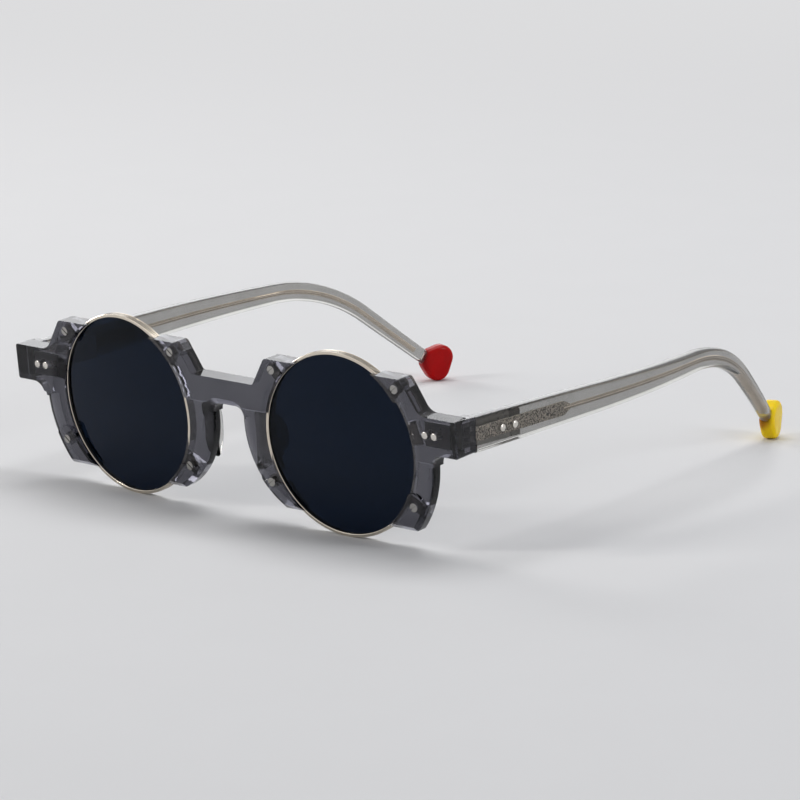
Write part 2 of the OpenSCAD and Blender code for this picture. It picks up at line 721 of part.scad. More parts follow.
// Slotted pan-head screw at a place in the plane of a lens
module claw_screw(p, ahead) {
    face = face_w(ahead, p[0]);
    translate([p[0], p[1], face]) difference() {
        union() {
            translate([0, 0, -0.1]) cylinder(h = claw_head_h + 0.1, r = claw_head_r, $fn = 32);
            cylinder(h = lug_w_back - face, r = claw_shank_r, $fn = 32);
        }
        rotate([0, 0, 35]) translate([-far, -0.15, -0.6]) cube([2 * far, 0.3, 0.8]);
    }
}

module claw_screws() {
    lens_frame() {
        for (p = outer_screws) claw_screw(p, end_ahead);
        for (p = inner_screws) claw_screw(p, bridge_ahead);
    }
}

rivet_z = hinge_z;
front_rivet_xs = [hinge_x - front_rivet_1, hinge_x - front_rivet_1 - front_rivet_step];

module front_leaf_plate(grow) {
    translate([hinge_x - front_leaf_l - grow, leaf_front_y - grow, hinge_z - hinge_h / 2 - grow])
        cube([front_leaf_l + barrel_r + 2 * grow, leaf_t + 2 * grow, hinge_h + 2 * grow]);
}

// Barrels of one leaf, with the arms that carry them
module barrel_row(levels, arm) {
    for (level = levels) translate([0, 0, hinge_z - hinge_h / 2 + level * barrel_pitch + barrel_gap / 2]) {
        cylinder(h = barrel_h, r = barrel_r, $fn = 48);
        translate(arm[0]) cube([arm[1][0], arm[1][1], barrel_h]);
    }
}

module hinge_bore() {
    translate([0, 0, hinge_z - hinge_h]) cylinder(h = 2 * hinge_h, r = hinge_pin_r + pin_clear, $fn = 48);
    translate([0, 0, hinge_z + hinge_h / 2 - barrel_gap / 2 - hinge_head_h])
        cylinder(h = hinge_h, r = hinge_head_r + pin_clear, $fn = 48);
}

module front_hinge() {
    difference() {
        union() {
            front_leaf_plate(0);
            translate([hinge_x, hinge_y, 0])
                barrel_row([0, 2, 4], [[-barrel_r, leaf_front_y - hinge_y, 0],
                                       [2 * barrel_r, hinge_y - leaf_front_y]]);
        }
        translate([hinge_x, hinge_y, 0]) hinge_bore();
        for (x = front_rivet_xs) translate([x, 0, rivet_z]) rotate([90, 0, 0])
            cylinder(h = far, r = rivet_r + hole_clear, center = true, $fn = 32);
    }
}

// Rivets flush with the front of the acetate and the back of the leaf
module front_rivets() {
    intersection() {
        for (x = front_rivet_xs) translate([x, leaf_front_y + leaf_t, rivet_z]) rotate([90, 0, 0])
            cylinder(h = far, r = rivet_r, $fn = 32);
        front_frame() translate([0, -end_ahead, -far]) cube([2 * far, far, 2 * far]);
    }
}

module hinge_screw() {
    top = hinge_z + hinge_h / 2 - barrel_gap / 2;
    translate([hinge_x, hinge_y, top]) difference() {
        union() {
            translate([0, 0, -hinge_h + barrel_gap]) cylinder(h = hinge_h - barrel_gap, r = hinge_pin_r, $fn = 48);
            translate([0, 0, -hinge_head_h]) cylinder(h = hinge_head_h, r = hinge_head_r, $fn = 48);
        }
        translate([-far, -0.15, -0.25]) cube([2 * far, 0.3, 1]);
    }
}

module temple_hinge() {
    temple_frame() difference() {
        union() {
            translate([leaf_offset, leaf_start, hinge_z - hinge_h / 2])
                cube([leaf_t, temple_leaf_l - leaf_start, hinge_h]);
            barrel_row([1, 3], [[0, 0, 0], [leaf_offset + leaf_t, leaf_start + 0.5]]);
        }
        hinge_bore();
        temple_rivet_row(rivet_r + hole_clear);
    }
}

// The two rivets, through everything between the leaf and the outer face
module temple_rivet_row(r) {
    for (y = [temple_rivet_1, temple_rivet_1 + temple_rivet_step])
        translate([leaf_offset, y, hinge_z + y * sin(temple_rise)]) rotate([0, 90, 0])
        cylinder(h = leaf_t + temple_front_t + 1, r = r, $fn = 32);
}

module temple_rivets() {
    temple_frame() intersection() {
        temple_rivet_row(rivet_r);
        translate([0, 0, -far]) cube([temple_x + section_t(temple_rivet_1) / 2, far, 3 * far]);
    }
}

module temple_body(grow) {
    skin([for (i = [0:temple_rings]) temple_ring(temple_len * i / temple_rings, grow)]);
}

module temple() {
    temple_frame() difference() {
        temple_body(0);
        shield_plate(core_clear);
        core_channel(core_clear);
        temple_rivet_row(rivet_r + hole_clear);
    }
}

// Plate with a point, buried in the middle of the temple
module shield_plate(grow) {
    translate([temple_x - shield_t / 2 - grow, 0, hinge_z]) rotate([temple_rise, 0, 0]) rotate([90, 0, 90])
        linear_extrude(shield_t + 2 * grow) offset(delta = grow) polygon([
            [0.6, -shield_h / 2], [shield_l, -shield_h / 2], [shield_l + shield_point, 0],
            [shield_l, shield_h / 2], [0.6, shield_h / 2]]);
}

// Wire from the middle of the plate's point to near the end of the temple
module core_channel(grow) {
    from = shield_l;
    to = temple_len - wire_short + grow;
    skin([for (i = [0:wire_rings]) wire_ring(from + (to - from) * i / wire_rings, wire_r + grow)]);
}

// Stippled shield plate, then the wire down the middle of the temple
module core_wire() {
    temple_frame() {
        difference() {
            shield_plate(0);
            temple_rivet_row(rivet_r + hole_clear);
        }
        core_channel(0);
    }
}

// Flat rounded triangle, broad at the top, over the end of the temple
module tip() {
    low = tip_h / 2 - tip_r;
    wide = tip_w / 2 - tip_r;
    temple_frame() difference() {
        translate([tip_at_x, tip_at_y, tip_h / 2]) rotate([0, 0, end_turn]) rotate([90, 0, 90]) hull()
            for (corner = [[-wide, low * 0.5], [wide, low], [0.1, -low]]) translate(corner) {
                cylinder(h = tip_t - 2 * tip_chamfer, r = tip_r, center = true, $fn = 32);
                cylinder(h = tip_t, r = tip_r - tip_chamfer, center = true, $fn = 32);
            }
        temple_body(core_clear);
    }
}

module end_piece_left() color(smoke) left() end_piece();
module end_piece_right() color(smoke) right() end_piece();
module rim_left() color(pale_gold) left() rim();
module rim_right() color(pale_gold) right() rim();
module rim_lugs_left() color(pale_gold) left() rim_lugs();
module rim_lugs_right() color(pale_gold) right() rim_lugs();
module closing_block_left() color(pale_gold) left() closing_block();
module closing_block_right() color(pale_gold) right() closing_block();
module closing_screw_left() color(silver) left() closing_screw();
module closing_screw_right() color(silver) right() closing_screw();
module lens_left() color(lens_blue) left() lens();
module lens_right() color(lens_blue) right() lens();
module nose_pad_left() color(clear_grey) left() nose_pad();
module nose_pad_right() color(clear_grey) right() nose_pad();
module claw_screws_left() color(silver) left() claw_screws();
module claw_screws_right() color(silver) right() claw_screws();
module front_hinge_left() color(silver) left() front_hinge();
module front_hinge_right() color(silver) right() front_hinge();
module front_rivets_left() color(pale_gold) left() front_rivets();
module front_rivets_right() color(pale_gold) right() front_rivets();
module hinge_screw_left() color(silver) left() hinge_screw();
module hinge_screw_right() color(silver) right() hinge_screw();
module temple_left() color(clear_grey) left() temple();
module temple_right() color(clear_grey) right() temple();
module core_wire_left() color(pale_gold) left() core_wire();
module core_wire_right() color(pale_gold) right() core_wire();
module temple_hinge_left() color(silver) left() temple_hinge();
module temple_hinge_right() color(silver) right() temple_hinge();
module temple_rivets_left() color(pale_gold) left() temple_rivets();
module temple_rivets_right() color(pale_gold) right() temple_rivets();
module tip_left() color(tip_yellow) left() tip();
module tip_right() color(tip_red) right() tip();

bridge();
end_piece_left();
end_piece_right();
rim_left();
rim_right();
rim_lugs_left();
rim_lugs_right();
closing_block_left();
closing_block_right();
closing_screw_left();
closing_screw_right();
lens_left();
lens_right();
nose_pad_left();
nose_pad_right();
claw_screws_left();
claw_screws_right();
front_hinge_left();
front_hinge_right();
front_rivets_left();
front_rivets_right();
hinge_screw_left();
hinge_screw_right();
temple_left();
temple_right();
core_wire_left();
core_wire_right();
temple_hinge_left();
temple_hinge_right();
temple_rivets_left();
temple_rivets_right();
tip_left();
tip_right();
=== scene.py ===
"""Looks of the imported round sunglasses, laid out as an add-on that is run as a script"""

import json
import math

import bmesh
import bpy
from mathutils import Matrix, Vector


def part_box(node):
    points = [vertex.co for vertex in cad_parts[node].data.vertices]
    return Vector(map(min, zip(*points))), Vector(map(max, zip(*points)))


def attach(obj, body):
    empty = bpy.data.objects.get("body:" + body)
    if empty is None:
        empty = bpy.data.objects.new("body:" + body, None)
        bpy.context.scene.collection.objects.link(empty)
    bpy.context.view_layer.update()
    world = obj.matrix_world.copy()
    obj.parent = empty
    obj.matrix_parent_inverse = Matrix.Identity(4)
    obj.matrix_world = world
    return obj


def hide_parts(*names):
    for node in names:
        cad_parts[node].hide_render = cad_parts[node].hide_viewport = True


bl_info = {
    "name": "Round Sunglasses",
    "version": (1, 0, 0),
    "blender": (4, 5, 0),
    "location": "View3D > Sidebar > Sunglasses",
    "description": "Looks of round sunglasses with acetate claws, milled rims and cored temples",
    "category": "Object",
}

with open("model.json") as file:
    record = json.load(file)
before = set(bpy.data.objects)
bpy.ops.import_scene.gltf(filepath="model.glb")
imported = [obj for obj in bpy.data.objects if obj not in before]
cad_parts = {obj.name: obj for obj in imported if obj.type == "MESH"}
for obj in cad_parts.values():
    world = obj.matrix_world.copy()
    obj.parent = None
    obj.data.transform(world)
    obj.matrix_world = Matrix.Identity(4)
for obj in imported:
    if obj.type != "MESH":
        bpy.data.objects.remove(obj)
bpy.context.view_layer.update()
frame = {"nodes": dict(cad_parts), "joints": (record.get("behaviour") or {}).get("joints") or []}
hinge_at = Vector(frame["joints"][0]["pos_m"])

MM = 0.001
SIDES = {"left": 1, "right": -1}

# Limits of the mesh tools, in metres and degrees
SAME_POINT = 1e-7
SAME_CAD_POINT = 2e-6
FLAT_ANGLE = 1.0
SHARP_ANGLE = 28
SMOOTH_ANGLE = 32

# Fits and small forms that several lines share
SEAT_CLEAR = 0.05 * MM
LIP = 0.3 * MM
LIP_SLOPE = 0.06 * MM
RIVET_DOME = 0.22 * MM


# Sizes and colours that a user would change

def length(name, description, default):
    return bpy.props.FloatProperty(
        name=name, description=description, default=default * MM, min=0, unit="LENGTH", precision=5)


def angle(name, description, default):
    return bpy.props.FloatProperty(
        name=name, description=description, default=math.radians(default), subtype="ANGLE")


def colour(name, description, default):
    return bpy.props.FloatVectorProperty(
        name=name, description=description, default=default, size=3, min=0, max=1, subtype="COLOR")


def count(name, description, default):
    return bpy.props.IntProperty(name=name, description=description, default=default, min=1)


class FrontSizes(bpy.types.PropertyGroup):
    """Places of the lenses and the edges of the acetate front"""

    lens_x: length("Lens offset", "Distance of each lens centre from the middle", 36.35)
    lens_height: length("Lens height", "Height of the lens centres above the ground", 23.2148)
    hinge_behind: length("Hinge offset", "Distance of the hinge axes behind the lens centres", 6.0)
    tilt: angle("Tilt", "Forward lean of the front", 4.9)
    wrap: angle("Wrap", "Outward turn of each lens", 3.5)
    edge: length("Polished edge", "Width of the tumbled edge round the acetate", 0.4)
    smoke: colour("Smoke", "Tint of the front", (0.4, 0.4, 0.43))


class RimSizes(bpy.types.PropertyGroup):
    """Rims, their milling and the lenses"""

    opening_r: length("Opening radius", "Inner radius of a rim", 22.5)
    wall: length("Wall", "Radial thickness of a rim", 0.8)
    depth: length("Depth", "Depth of a rim from front to back", 2.0)
    groove: length("Groove", "How far the lens reaches into its groove", 0.4)
    lens_edge: length("Lens edge", "Thickness of a lens at its edge", 1.1)
    lens_curve: length("Lens curve", "Radius of the lens faces", 260)
    ribs: count("Ribs", "Milled ribs round a rim", 300)
    rib_height: length("Rib height", "How far a rib stands out of its band", 0.14)
    gold: colour("Pale gold", "Colour of the plated metal", (0.7, 0.63, 0.53))
    split: length("Saw cut", "Gap where the closing block draws a rim together", 0.3)
    block_angle: angle("Closing angle", "Angle of the saw cut above the horizontal", 14)
    glass: colour("Lens colour", "Tint of the lenses", (0.004, 0.008, 0.018))


class TempleSizes(bpy.types.PropertyGroup):
    """Temples, their wires, rivets and tips"""

    front_height: length("Front height", "Height of a temple at the hinge", 8.6)
    bend_height: length("Bend height", "Height of a temple where the ear bend starts", 5.3)
    end_height: length("End height", "Height of a temple at its end", 3.7)
    front_thickness: length("Front thickness", "Thickness of a temple at the hinge", 3.75)
    end_thickness: length("End thickness", "Thickness of a temple at its end", 3.2)
    flare: angle("Flare", "Outward turn of the temples", 1.95)
    rise: angle("Rise", "Rise of the middle of the temples", 1.15)
    bend_at: length("Bend start", "Distance from the hinge to the ear bend", 86)
    bend_r: length("Bend radius", "Radius of the ear bend", 46)
    drop: angle("Drop", "Downward angle behind the ear bend", 38)
    curve_at: length("Curve start", "Distance from the hinge to the inward curve", 44)
    curve_r: length("Curve radius", "Radius of the inward curve", 225)
    end_height_above: length("End above ground", "Height of the end of a temple", 5.2)
    leaf_gap: length("Leaf offset", "Distance from the hinge axis to the temple's inner face", 1.75)
    shield_height: length("Shield height", "Height of the shield plate", 3.4)
    shield_length: length("Shield length", "Length of the straight part of the shield plate", 32)
    shield_point: length("Shield point", "Length of the point of the shield plate", 3.6)
    shield_thickness: length("Shield thickness", "Thickness of the shield plate", 0.8)
    wire_r: length("Wire radius", "Radius of the core wire", 0.6)
    wire_short: length("Wire end", "Distance from the end of the wire to the end of the temple", 7)
    rivet_r: length("Rivet radius", "Radius of the rivets", 0.9)
    clear: colour("Clear grey", "Tint of the temples and the nose pads", (0.62, 0.615, 0.6))


class TipSizes(bpy.types.PropertyGroup):
    """Coloured tips"""

    behind: length("Behind", "How far the middle of a tip lies behind the end of its temple", 1.6)
    width: length("Width", "Length of a tip along its temple", 9.6)
    height: length("Height", "Height of a tip", 10)
    thickness: length("Thickness", "Thickness of a tip", 4.2)
    corner: length("Corner radius", "Rounding of the corners of a tip", 3.6)
    edge: length("Edge radius", "Rounding of the edges of a tip", 1.2)
    yellow: colour("Yellow", "Colour of the left tip", (0.95, 0.66, 0.008))
    red: colour("Red", "Colour of the right tip", (0.42, 0.0008, 0.0015))


class StudioSettings(bpy.types.PropertyGroup):
    """Floor, lamps and camera"""

    floor: colour("Floor", "Colour of the floor", (0.72, 0.72, 0.73))
    azimuth: angle("Azimuth", "Turn of the camera round the glasses", 42.0418)
    elevation: angle("Elevation", "Height angle of the camera", 13.1669)
    roll: angle("Roll", "Roll of the camera", -1.4477)
    distance: bpy.props.FloatProperty(
        name="Distance", description="Distance of the camera from its aim", default=1.16652,
        unit="LENGTH")
    aim: bpy.props.FloatVectorProperty(
        name="Aim", description="Point that the camera looks at", default=(-0.00856, 0.0, 0.0145),
        size=3, subtype="TRANSLATION", unit="LENGTH")
    lens: bpy.props.FloatProperty(
        name="Focal length", description="Focal length in millimetres", default=202.884, min=1)


def sizes(group):
    return getattr(bpy.context.scene, "sunglasses_" + group)


# Shader maths as Python expressions

class Wire:
    """A socket or a number that takes part in an expression"""

    def __init__(self, paint, source):
        self.paint = paint
        self.source = source

    def maths(self, operation, *others):
        return self.paint.node("ShaderNodeMath", {"operation": operation}, {
            i: value for i, value in enumerate((self,) + others)})

    def __add__(self, other):
        return self.maths("ADD", other)

    def __radd__(self, other):
        return self.maths("ADD", other)

    def __sub__(self, other):
        return self.maths("SUBTRACT", other)

    def __rsub__(self, other):
        return Wire(self.paint, other).maths("SUBTRACT", self)

    def __mul__(self, other):
        return self.maths("MULTIPLY", other)

    def __rmul__(self, other):
        return self.maths("MULTIPLY", other)

    def __pow__(self, other):
        return self.maths("POWER", other)

    def __rpow__(self, other):
        return Wire(self.paint, other).maths("POWER", self)

    def ramp(self, low, high):
        """0 below low and 1 above high, with a soft step between them"""
        return self.paint.node("ShaderNodeMapRange", {"interpolation_type": "SMOOTHSTEP"}, {
            "Value": self, "From Min": low, "From Max": high, "To Min": 0.0, "To Max": 1.0})


class Paint:
    """A material or a world whose nodes are made one call at a time"""

    def __init__(self, name, kind="materials"):
        self.made = getattr(bpy.data, kind).new(name)
        self.made.use_nodes = True
        self.tree = self.made.node_tree
        self.tree.nodes.clear()
        self.coordinates = self.node("ShaderNodeTexCoord", {}, {}, "Object")

    def node(self, kind, settings, values, output=0):
        made = self.tree.nodes.new(kind)
        for key, value in settings.items():
            setattr(made, key, value)
        for key, value in values.items():
            socket = made.inputs[key]
            source = value.source if isinstance(value, Wire) else value
            if isinstance(source, bpy.types.NodeSocket):
                self.tree.links.new(source, socket)
            else:
                socket.default_value = source
        return Wire(self, made.outputs[output]) if made.outputs else None

    def part(self, axis):
        return self.node("ShaderNodeSeparateXYZ", {}, {"Vector": self.coordinates}, axis)

    def noise(self, scale, detail=3.0, roughness=0.5, vector=None):
        return self.node("ShaderNodeTexNoise", {}, {
            "Vector": vector or self.coordinates, "Scale": scale, "Detail": detail,
            "Roughness": roughness})

    def stretched(self, scale):
        return self.node("ShaderNodeMapping", {}, {"Vector": self.coordinates, "Scale": scale})

    def mix(self, factor, first, second):
        return self.node("ShaderNodeMix", {"data_type": "RGBA"}, {
            0: factor, 6: (*first, 1.0) if isinstance(first, tuple) else first,
            7: (*second, 1.0) if isinstance(second, tuple) else second}, 2)

    def bump(self, height, strength, distance):
        return self.node("ShaderNodeBump", {}, {
            "Height": height, "Strength": strength, "Distance": distance})

    def seen(self):
        """1 for rays that show a background: straight, mirrored or through glass"""
        rays = [self.node("ShaderNodeLightPath", {}, {}, "Is " + kind + " Ray")
                for kind in ("Camera", "Glossy", "Transmission")]
        return rays[0].maths("MAXIMUM", rays[1]).maths("MAXIMUM", rays[2])

    def principled(self, **values):
        """Names as on the Principled node, with _ for a space"""
        return self.node("ShaderNodeBsdfPrincipled", {}, {
            key.replace("_", " "): value for key, value in values.items()})

    def finish(self, shader, output="ShaderNodeOutputMaterial", **values):
        self.node(output, {}, {"Surface": shader, **values})
        return self.made

    def surface(self, **values):
        return self.finish(self.principled(**values))


def tinted(colour, amount):
    return tuple(min(1.0, part * amount) for part in colour)


def polished_acetate(name, tint, depth_tint, density):
    """Cast acetate that darkens with its depth, with faint polishing lines and swirls"""
    paint = Paint(name)
    cloud = paint.noise(90.0, detail=4.0).ramp(0.35, 0.75)
    scratches = paint.noise(2600.0, detail=2.0, vector=paint.stretched((1.0, 0.12, 1.0)))
    handling = paint.noise(700.0, detail=5.0, roughness=0.6)
    base = paint.mix(cloud, tinted(tint, 0.93), tinted(tint, 1.06))
    rough = handling.ramp(0.45, 0.8) * 0.05 + 0.018
    relief = paint.noise(240.0, detail=2.0) * 0.6 + scratches * 0.06
    shader = paint.principled(
        Base_Color=base, Roughness=rough, IOR=1.49, Transmission_Weight=1.0,
        Specular_Tint=(0.5, 0.5, 0.52, 1.0), Coat_Weight=handling.ramp(0.2, 0.5) * 0.12,
        Coat_Roughness=0.02, Normal=paint.bump(relief, 0.09, 0.2 * MM))
    inside = paint.node("ShaderNodeVolumeAbsorption", {}, {
        "Color": (*depth_tint, 1.0), "Density": density})
    return paint.finish(shader, Volume=inside)


def plated_metal(name, tint, rough=0.2, grain=2200.0):
    """Plated nickel silver with fine brushing and slightly darker random stains"""
    paint = Paint(name)
    lines = paint.noise(grain, roughness=0.6, vector=paint.stretched((1.0, 1.0, 0.15)))
    stains = paint.noise(160.0, detail=4.0, roughness=0.55).ramp(0.4, 0.8)
    base = paint.mix(stains, tint, tinted(tint, 0.82))
    return paint.surface(
        Base_Color=base, Metallic=1.0, Roughness=lines * 0.16 + stains * 0.05 + (rough - 0.08),
        Normal=paint.bump(lines, 0.12, 0.04 * MM))


def rim_metal(name, tint):
    """Plated metal with painted shade that darkens the band between the milled ribs, below the rib
    tops
    """
    rim = sizes("rim")
    paint = Paint(name)
    lines = paint.noise(2200.0, roughness=0.6)
    place = lens_place()
    mirror = paint.node("ShaderNodeCombineXYZ", {}, {
        "X": paint.part("X").maths("ABSOLUTE"), "Y": paint.part("Y"), "Z": paint.part("Z")})
    from_middle = paint.node("ShaderNodeVectorMath", {"operation": "SUBTRACT"}, {
        0: mirror, 1: tuple(place.translation)})
    out, up, back = (
        paint.node("ShaderNodeVectorMath", {"operation": "DOT_PRODUCT"}, {
            0: from_middle, 1: tuple(place.col[i].xyz)}, "Value") for i in range(3))
    radius = (out ** 2.0 + up ** 2.0) ** 0.5
    band = rim.opening_r + rim.wall - rim.rib_height
    # Painted shade: the band and the lower sides of the ribs, between the two lips, are darkened
    # nearly to black
    painted_shade_between_ribs = radius.ramp(band - 0.03 * MM, band - 0.01 * MM) * (
        1.0 - radius.ramp(band + 0.09 * MM, band + 0.12 * MM))
    edge = LIP + LIP_SLOPE
    between_lips = back.ramp(LIP, edge) * (1.0 - back.ramp(rim.depth - edge, rim.depth - LIP))
    base = paint.mix(painted_shade_between_ribs * between_lips, tint, tinted(tint, 0.08))
    return paint.surface(
        Base_Color=base, Metallic=1.0, Roughness=lines * 0.14 + 0.12,
        Normal=paint.bump(lines, 0.12, 0.04 * MM))


def stippled_metal(name, tint):
    """Blasted plate: bright and dark grains in a sandy surface"""
    paint = Paint(name)
    grains = paint.node("ShaderNodeTexVoronoi", {}, {
        "Vector": paint.coordinates, "Scale": 2600.0})
    sand = paint.noise(2700.0, roughness=0.75)
    base = paint.mix(sand.ramp(0.44, 0.54), tinted(tint, 0.07), tint)
    return paint.surface(
        Base_Color=base, Metallic=0.35, Roughness=sand * 0.3 + 0.25,
        Normal=paint.bump(grains + sand * 0.7, 0.8, 0.12 * MM))


def dark_lens(name, tint):
    """Dark tinted glass, with the weak bluish mirror of a coated lens given by its low index"""
    paint = Paint(name)
    depth = paint.noise(14.0, detail=2.0)
    base = paint.mix(depth.ramp(0.3, 0.7), tinted(tint, 0.94), tinted(tint, 1.06))
    smears = paint.noise(60.0, detail=5.0, roughness=0.6).ramp(0.5, 0.9)
    wave = paint.noise(30.0, detail=1.0)
    return paint.surface(
        Base_Color=base, Roughness=smears * 0.015 + 0.005, IOR=1.2, Transmission_Weight=1.0,
        Specular_Tint=(0.75, 0.85, 1.0, 1.0), Normal=paint.bump(wave, 0.02, 0.1 * MM))


def glossy_colour(name, tint, front_shade_tint):
    """Cast plastic with a soft flow pattern in it and painted shade, a deeper and darker colour,
    along its front edge
    """
    paint = Paint(name)
    flow = paint.noise(260.0, detail=4.0, roughness=0.55, vector=paint.stretched((1.0, 1.6, 0.8)))
    fine = paint.noise(2400.0, detail=2.0)
    behind = paint.part("Y") - tip_front()
    # Painted shade along the front edge of a tip, fading out towards the back
    painted_front_shade = behind.ramp(0.2 * MM, 1.6 * MM)
    face = paint.mix(flow.ramp(0.3, 0.75), tinted(tint, 0.9), tinted(tint, 1.08))
    base = paint.mix(painted_front_shade, front_shade_tint, face)
    rough = paint.noise(900.0, detail=4.0, roughness=0.6).ramp(0.4, 0.8) * 0.1 + 0.1
    return paint.surface(
        Base_Color=base, Roughness=rough, Subsurface_Weight=0.12, Subsurface_Scale=1.5 * MM,
        Specular_IOR_Level=0.06, Coat_Weight=rough * 0.4 + 0.1, Coat_Roughness=0.03,
        Normal=paint.bump(flow + fine * 0.08, 0.06, 0.3 * MM))


def tip_front():
    """Place of the front edge of the tips"""
    return min(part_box("tip_" + side)[0].y for side in SIDES)


def hinge_metal(name, tint):
    """Satin leaves whose barrels are darkened with painted shade"""
    paint = Paint(name)
    barrel_r, leaf_from = 1.3 * MM, 1.8 * MM
    across = (paint.part("X").maths("ABSOLUTE") - abs(hinge_at.x)) ** 2.0
    along = (paint.part("Y") - hinge_at.y) ** 2.0
    from_axis = (across + along) ** 0.5
    lines = paint.noise(1500.0, roughness=0.6)
    # Painted shade: the barrels round each hinge axis are darkened to a third of the leaf colour
    base = paint.mix(from_axis.ramp(barrel_r, leaf_from), tinted(tint, 0.3), tint)
    return paint.surface(
        Base_Color=base, Metallic=0.85, Roughness=lines * 0.15 + 0.22,
        Normal=paint.bump(lines, 0.12, 0.04 * MM))


finishes = {}


def finish_of(name):
    """Each finish is made once, when a piece first needs it"""
    if name not in finishes:
        makers = {
            "smoke_acetate": lambda: polished_acetate(
                name, tuple(sizes("front").smoke), depth_tint=(0.42, 0.42, 0.46), density=520.0),
            "clear_acetate": lambda: polished_acetate(
                name, tuple(sizes("temple").clear), depth_tint=(0.5, 0.5, 0.485), density=240.0),
            "champagne_metal": lambda: plated_metal(name, tuple(sizes("rim").gold)),
            "milled_metal": lambda: rim_metal(name, tuple(sizes("rim").gold)),
            "wire_metal": lambda: plated_metal(name, (0.95, 0.84, 0.72), rough=0.12),
            "steel": lambda: plated_metal(name, (0.5, 0.49, 0.48), rough=0.22, grain=1500.0),
            "screw_steel": lambda: plated_metal(
                name, (0.36, 0.35, 0.33), rough=0.14, grain=1500.0),
            "shield_metal": lambda: stippled_metal(name, (0.95, 0.86, 0.76)),
            "rivet_metal": lambda: plated_metal(name, (0.68, 0.65, 0.6), rough=0.26),
            "lens": lambda: dark_lens(name, tuple(sizes("rim").glass)),
            "plate_steel": lambda: plated_metal(
                name, (0.7, 0.68, 0.65), rough=0.3, grain=1500.0),
            "hinge_steel": lambda: hinge_metal(name, (0.55, 0.53, 0.51)),
            # The second colour of each tip is painted shade along its front edge
            "yellow_tip": lambda: glossy_colour(
                name, tuple(sizes("tip").yellow), front_shade_tint=(0.42, 0.16, 0.004)),
            "red_tip": lambda: glossy_colour(
                name, tuple(sizes("tip").red), front_shade_tint=(0.3, 0.0005, 0.001)),
        }
        finishes[name] = makers[name]()
    return finishes[name]


# Meshes

def add_object(name, data):
    made = bpy.data.objects.new(name, data)
    bpy.context.scene.collection.objects.link(made)
    return made


def smoothed(mesh, degrees=SMOOTH_ANGLE):
    mesh.shade_smooth()
    mesh.set_sharp_from_angle(angle=math.radians(degrees))
    return mesh


def mesh_from(points, faces, name):
    mesh = bpy.data.meshes.new(name)
    mesh.from_pydata([tuple(p) for p in points], [], faces)
    work = bmesh.new()
    work.from_mesh(mesh)
    bmesh.ops.remove_doubles(work, verts=work.verts, dist=SAME_POINT)
    bmesh.ops.recalc_face_normals(work, faces=work.faces)
    work.to_mesh(mesh)
    work.free()
    return smoothed(mesh)


def skin(rings, name, closed_ring=False):
    """Solid through equal rings of points"""
    n = len(rings[0])
    points = [p for ring in rings for p in ring]
    faces = []
    last = len(rings) if closed_ring else len(rings) - 1
    for k in range(last):
        a, b = k * n, (k + 1) % len(rings) * n
        faces += [(a + i, a + (i + 1) % n, b + (i + 1) % n, b + i) for i in range(n)]
    if not closed_ring:
        faces.append(tuple(range(n)))
        faces.append(tuple((len(rings) - 1) * n + i for i in range(n)))
    return mesh_from(points, faces, name)


def lathe(profile, steps, name, gap=0.0):
    """Ring or disc turned about z from (radius, height) points, left open by a gap at its start"""
    rings = []
    for k in range(steps + 1 if gap else steps):
        turn = gap / 2 + (2 * math.pi - gap) * k / steps
        rings.append([Vector((r * math.cos(turn), r * math.sin(turn), z)) for r, z in profile])
    return skin(rings, name, not gap)


def pillow(outline, thickness, edge, name, steps=8):
    """Plate with rounded edges: an outline as a function of its inset, across its thickness"""
    layers = []
    for k in range(steps + 1):
        turn = math.pi / 2 * k / steps
        layers.append((edge * (1 - math.sin(turn)), -thickness / 2 + edge * (1 - math.cos(turn))))
    layers += [(inset, -height) for inset, height in reversed(layers)]
    rings = [[Vector((x, y, height)) for x, y in outline(inset)] for inset, height in layers]
    return skin(rings, name)


def rounded_hull(circles, inset, steps=10):
    """Convex outline round equal circles given anticlockwise, each (x, y, radius)"""
    points = []
    n = len(circles)
    for i, (x, y, r) in enumerate(circles):
        before, after = circles[i - 1], circles[(i + 1) % n]
        start = math.atan2(y - before[1], x - before[0]) - math.pi / 2
        end = math.atan2(after[1] - y, after[0] - x) - math.pi / 2
        while end < start:
            end += 2 * math.pi
        for k in range(steps + 1):
            turn = start + (end - start) * k / steps
            points.append((x + (r - inset) * math.cos(turn), y + (r - inset) * math.sin(turn)))
    return points


def spots(places):
    """Mesh of single points"""
    mesh = bpy.data.meshes.new("spots")
    mesh.from_pydata(list(places), [], [])
    return mesh


def merged_copy(node, name, edge, segments=3):
    """A copy of a CAD node with its loose triangles merged and its edges rounded"""
    mesh = frame["nodes"][node].data.copy()
    mesh.name = name
    mesh.materials.clear()
    work = bmesh.new()
    work.from_mesh(mesh)
    bmesh.ops.remove_doubles(work, verts=work.verts, dist=SAME_CAD_POINT)
    bmesh.ops.dissolve_limit(
        work, angle_limit=math.radians(FLAT_ANGLE), verts=work.verts, edges=work.edges)
    work.to_mesh(mesh)
    work.free()
    made = add_object(name, smoothed(mesh, SHARP_ANGLE))
    if edge:
        bevel = made.modifiers.new("Polished edge", "BEVEL")
        bevel.width = edge
        bevel.segments = segments
        bevel.limit_method = "ANGLE"
        bevel.angle_limit = math.radians(SHARP_ANGLE)
        bevel.use_clamp_overlap = True
        bevel.harden_normals = True
        bevel.miter_outer = "MITER_ARC"
    return plain(made)


def plain(made):
    """Turns the modifiers of an object into its own mesh"""
    bpy.context.view_layer.update()
    shape = bpy.data.meshes.new_from_object(
        made.evaluated_get(bpy.context.evaluated_depsgraph_get()))
    made.modifiers.clear()
    made.data = shape
    return made


def dress(made, finish, body):
    made.data.materials.clear()
    made.data.materials.append(finish_of(finish))
    for face in made.data.polygons:
        face.material_index = 0
    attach(made, body)
    return made


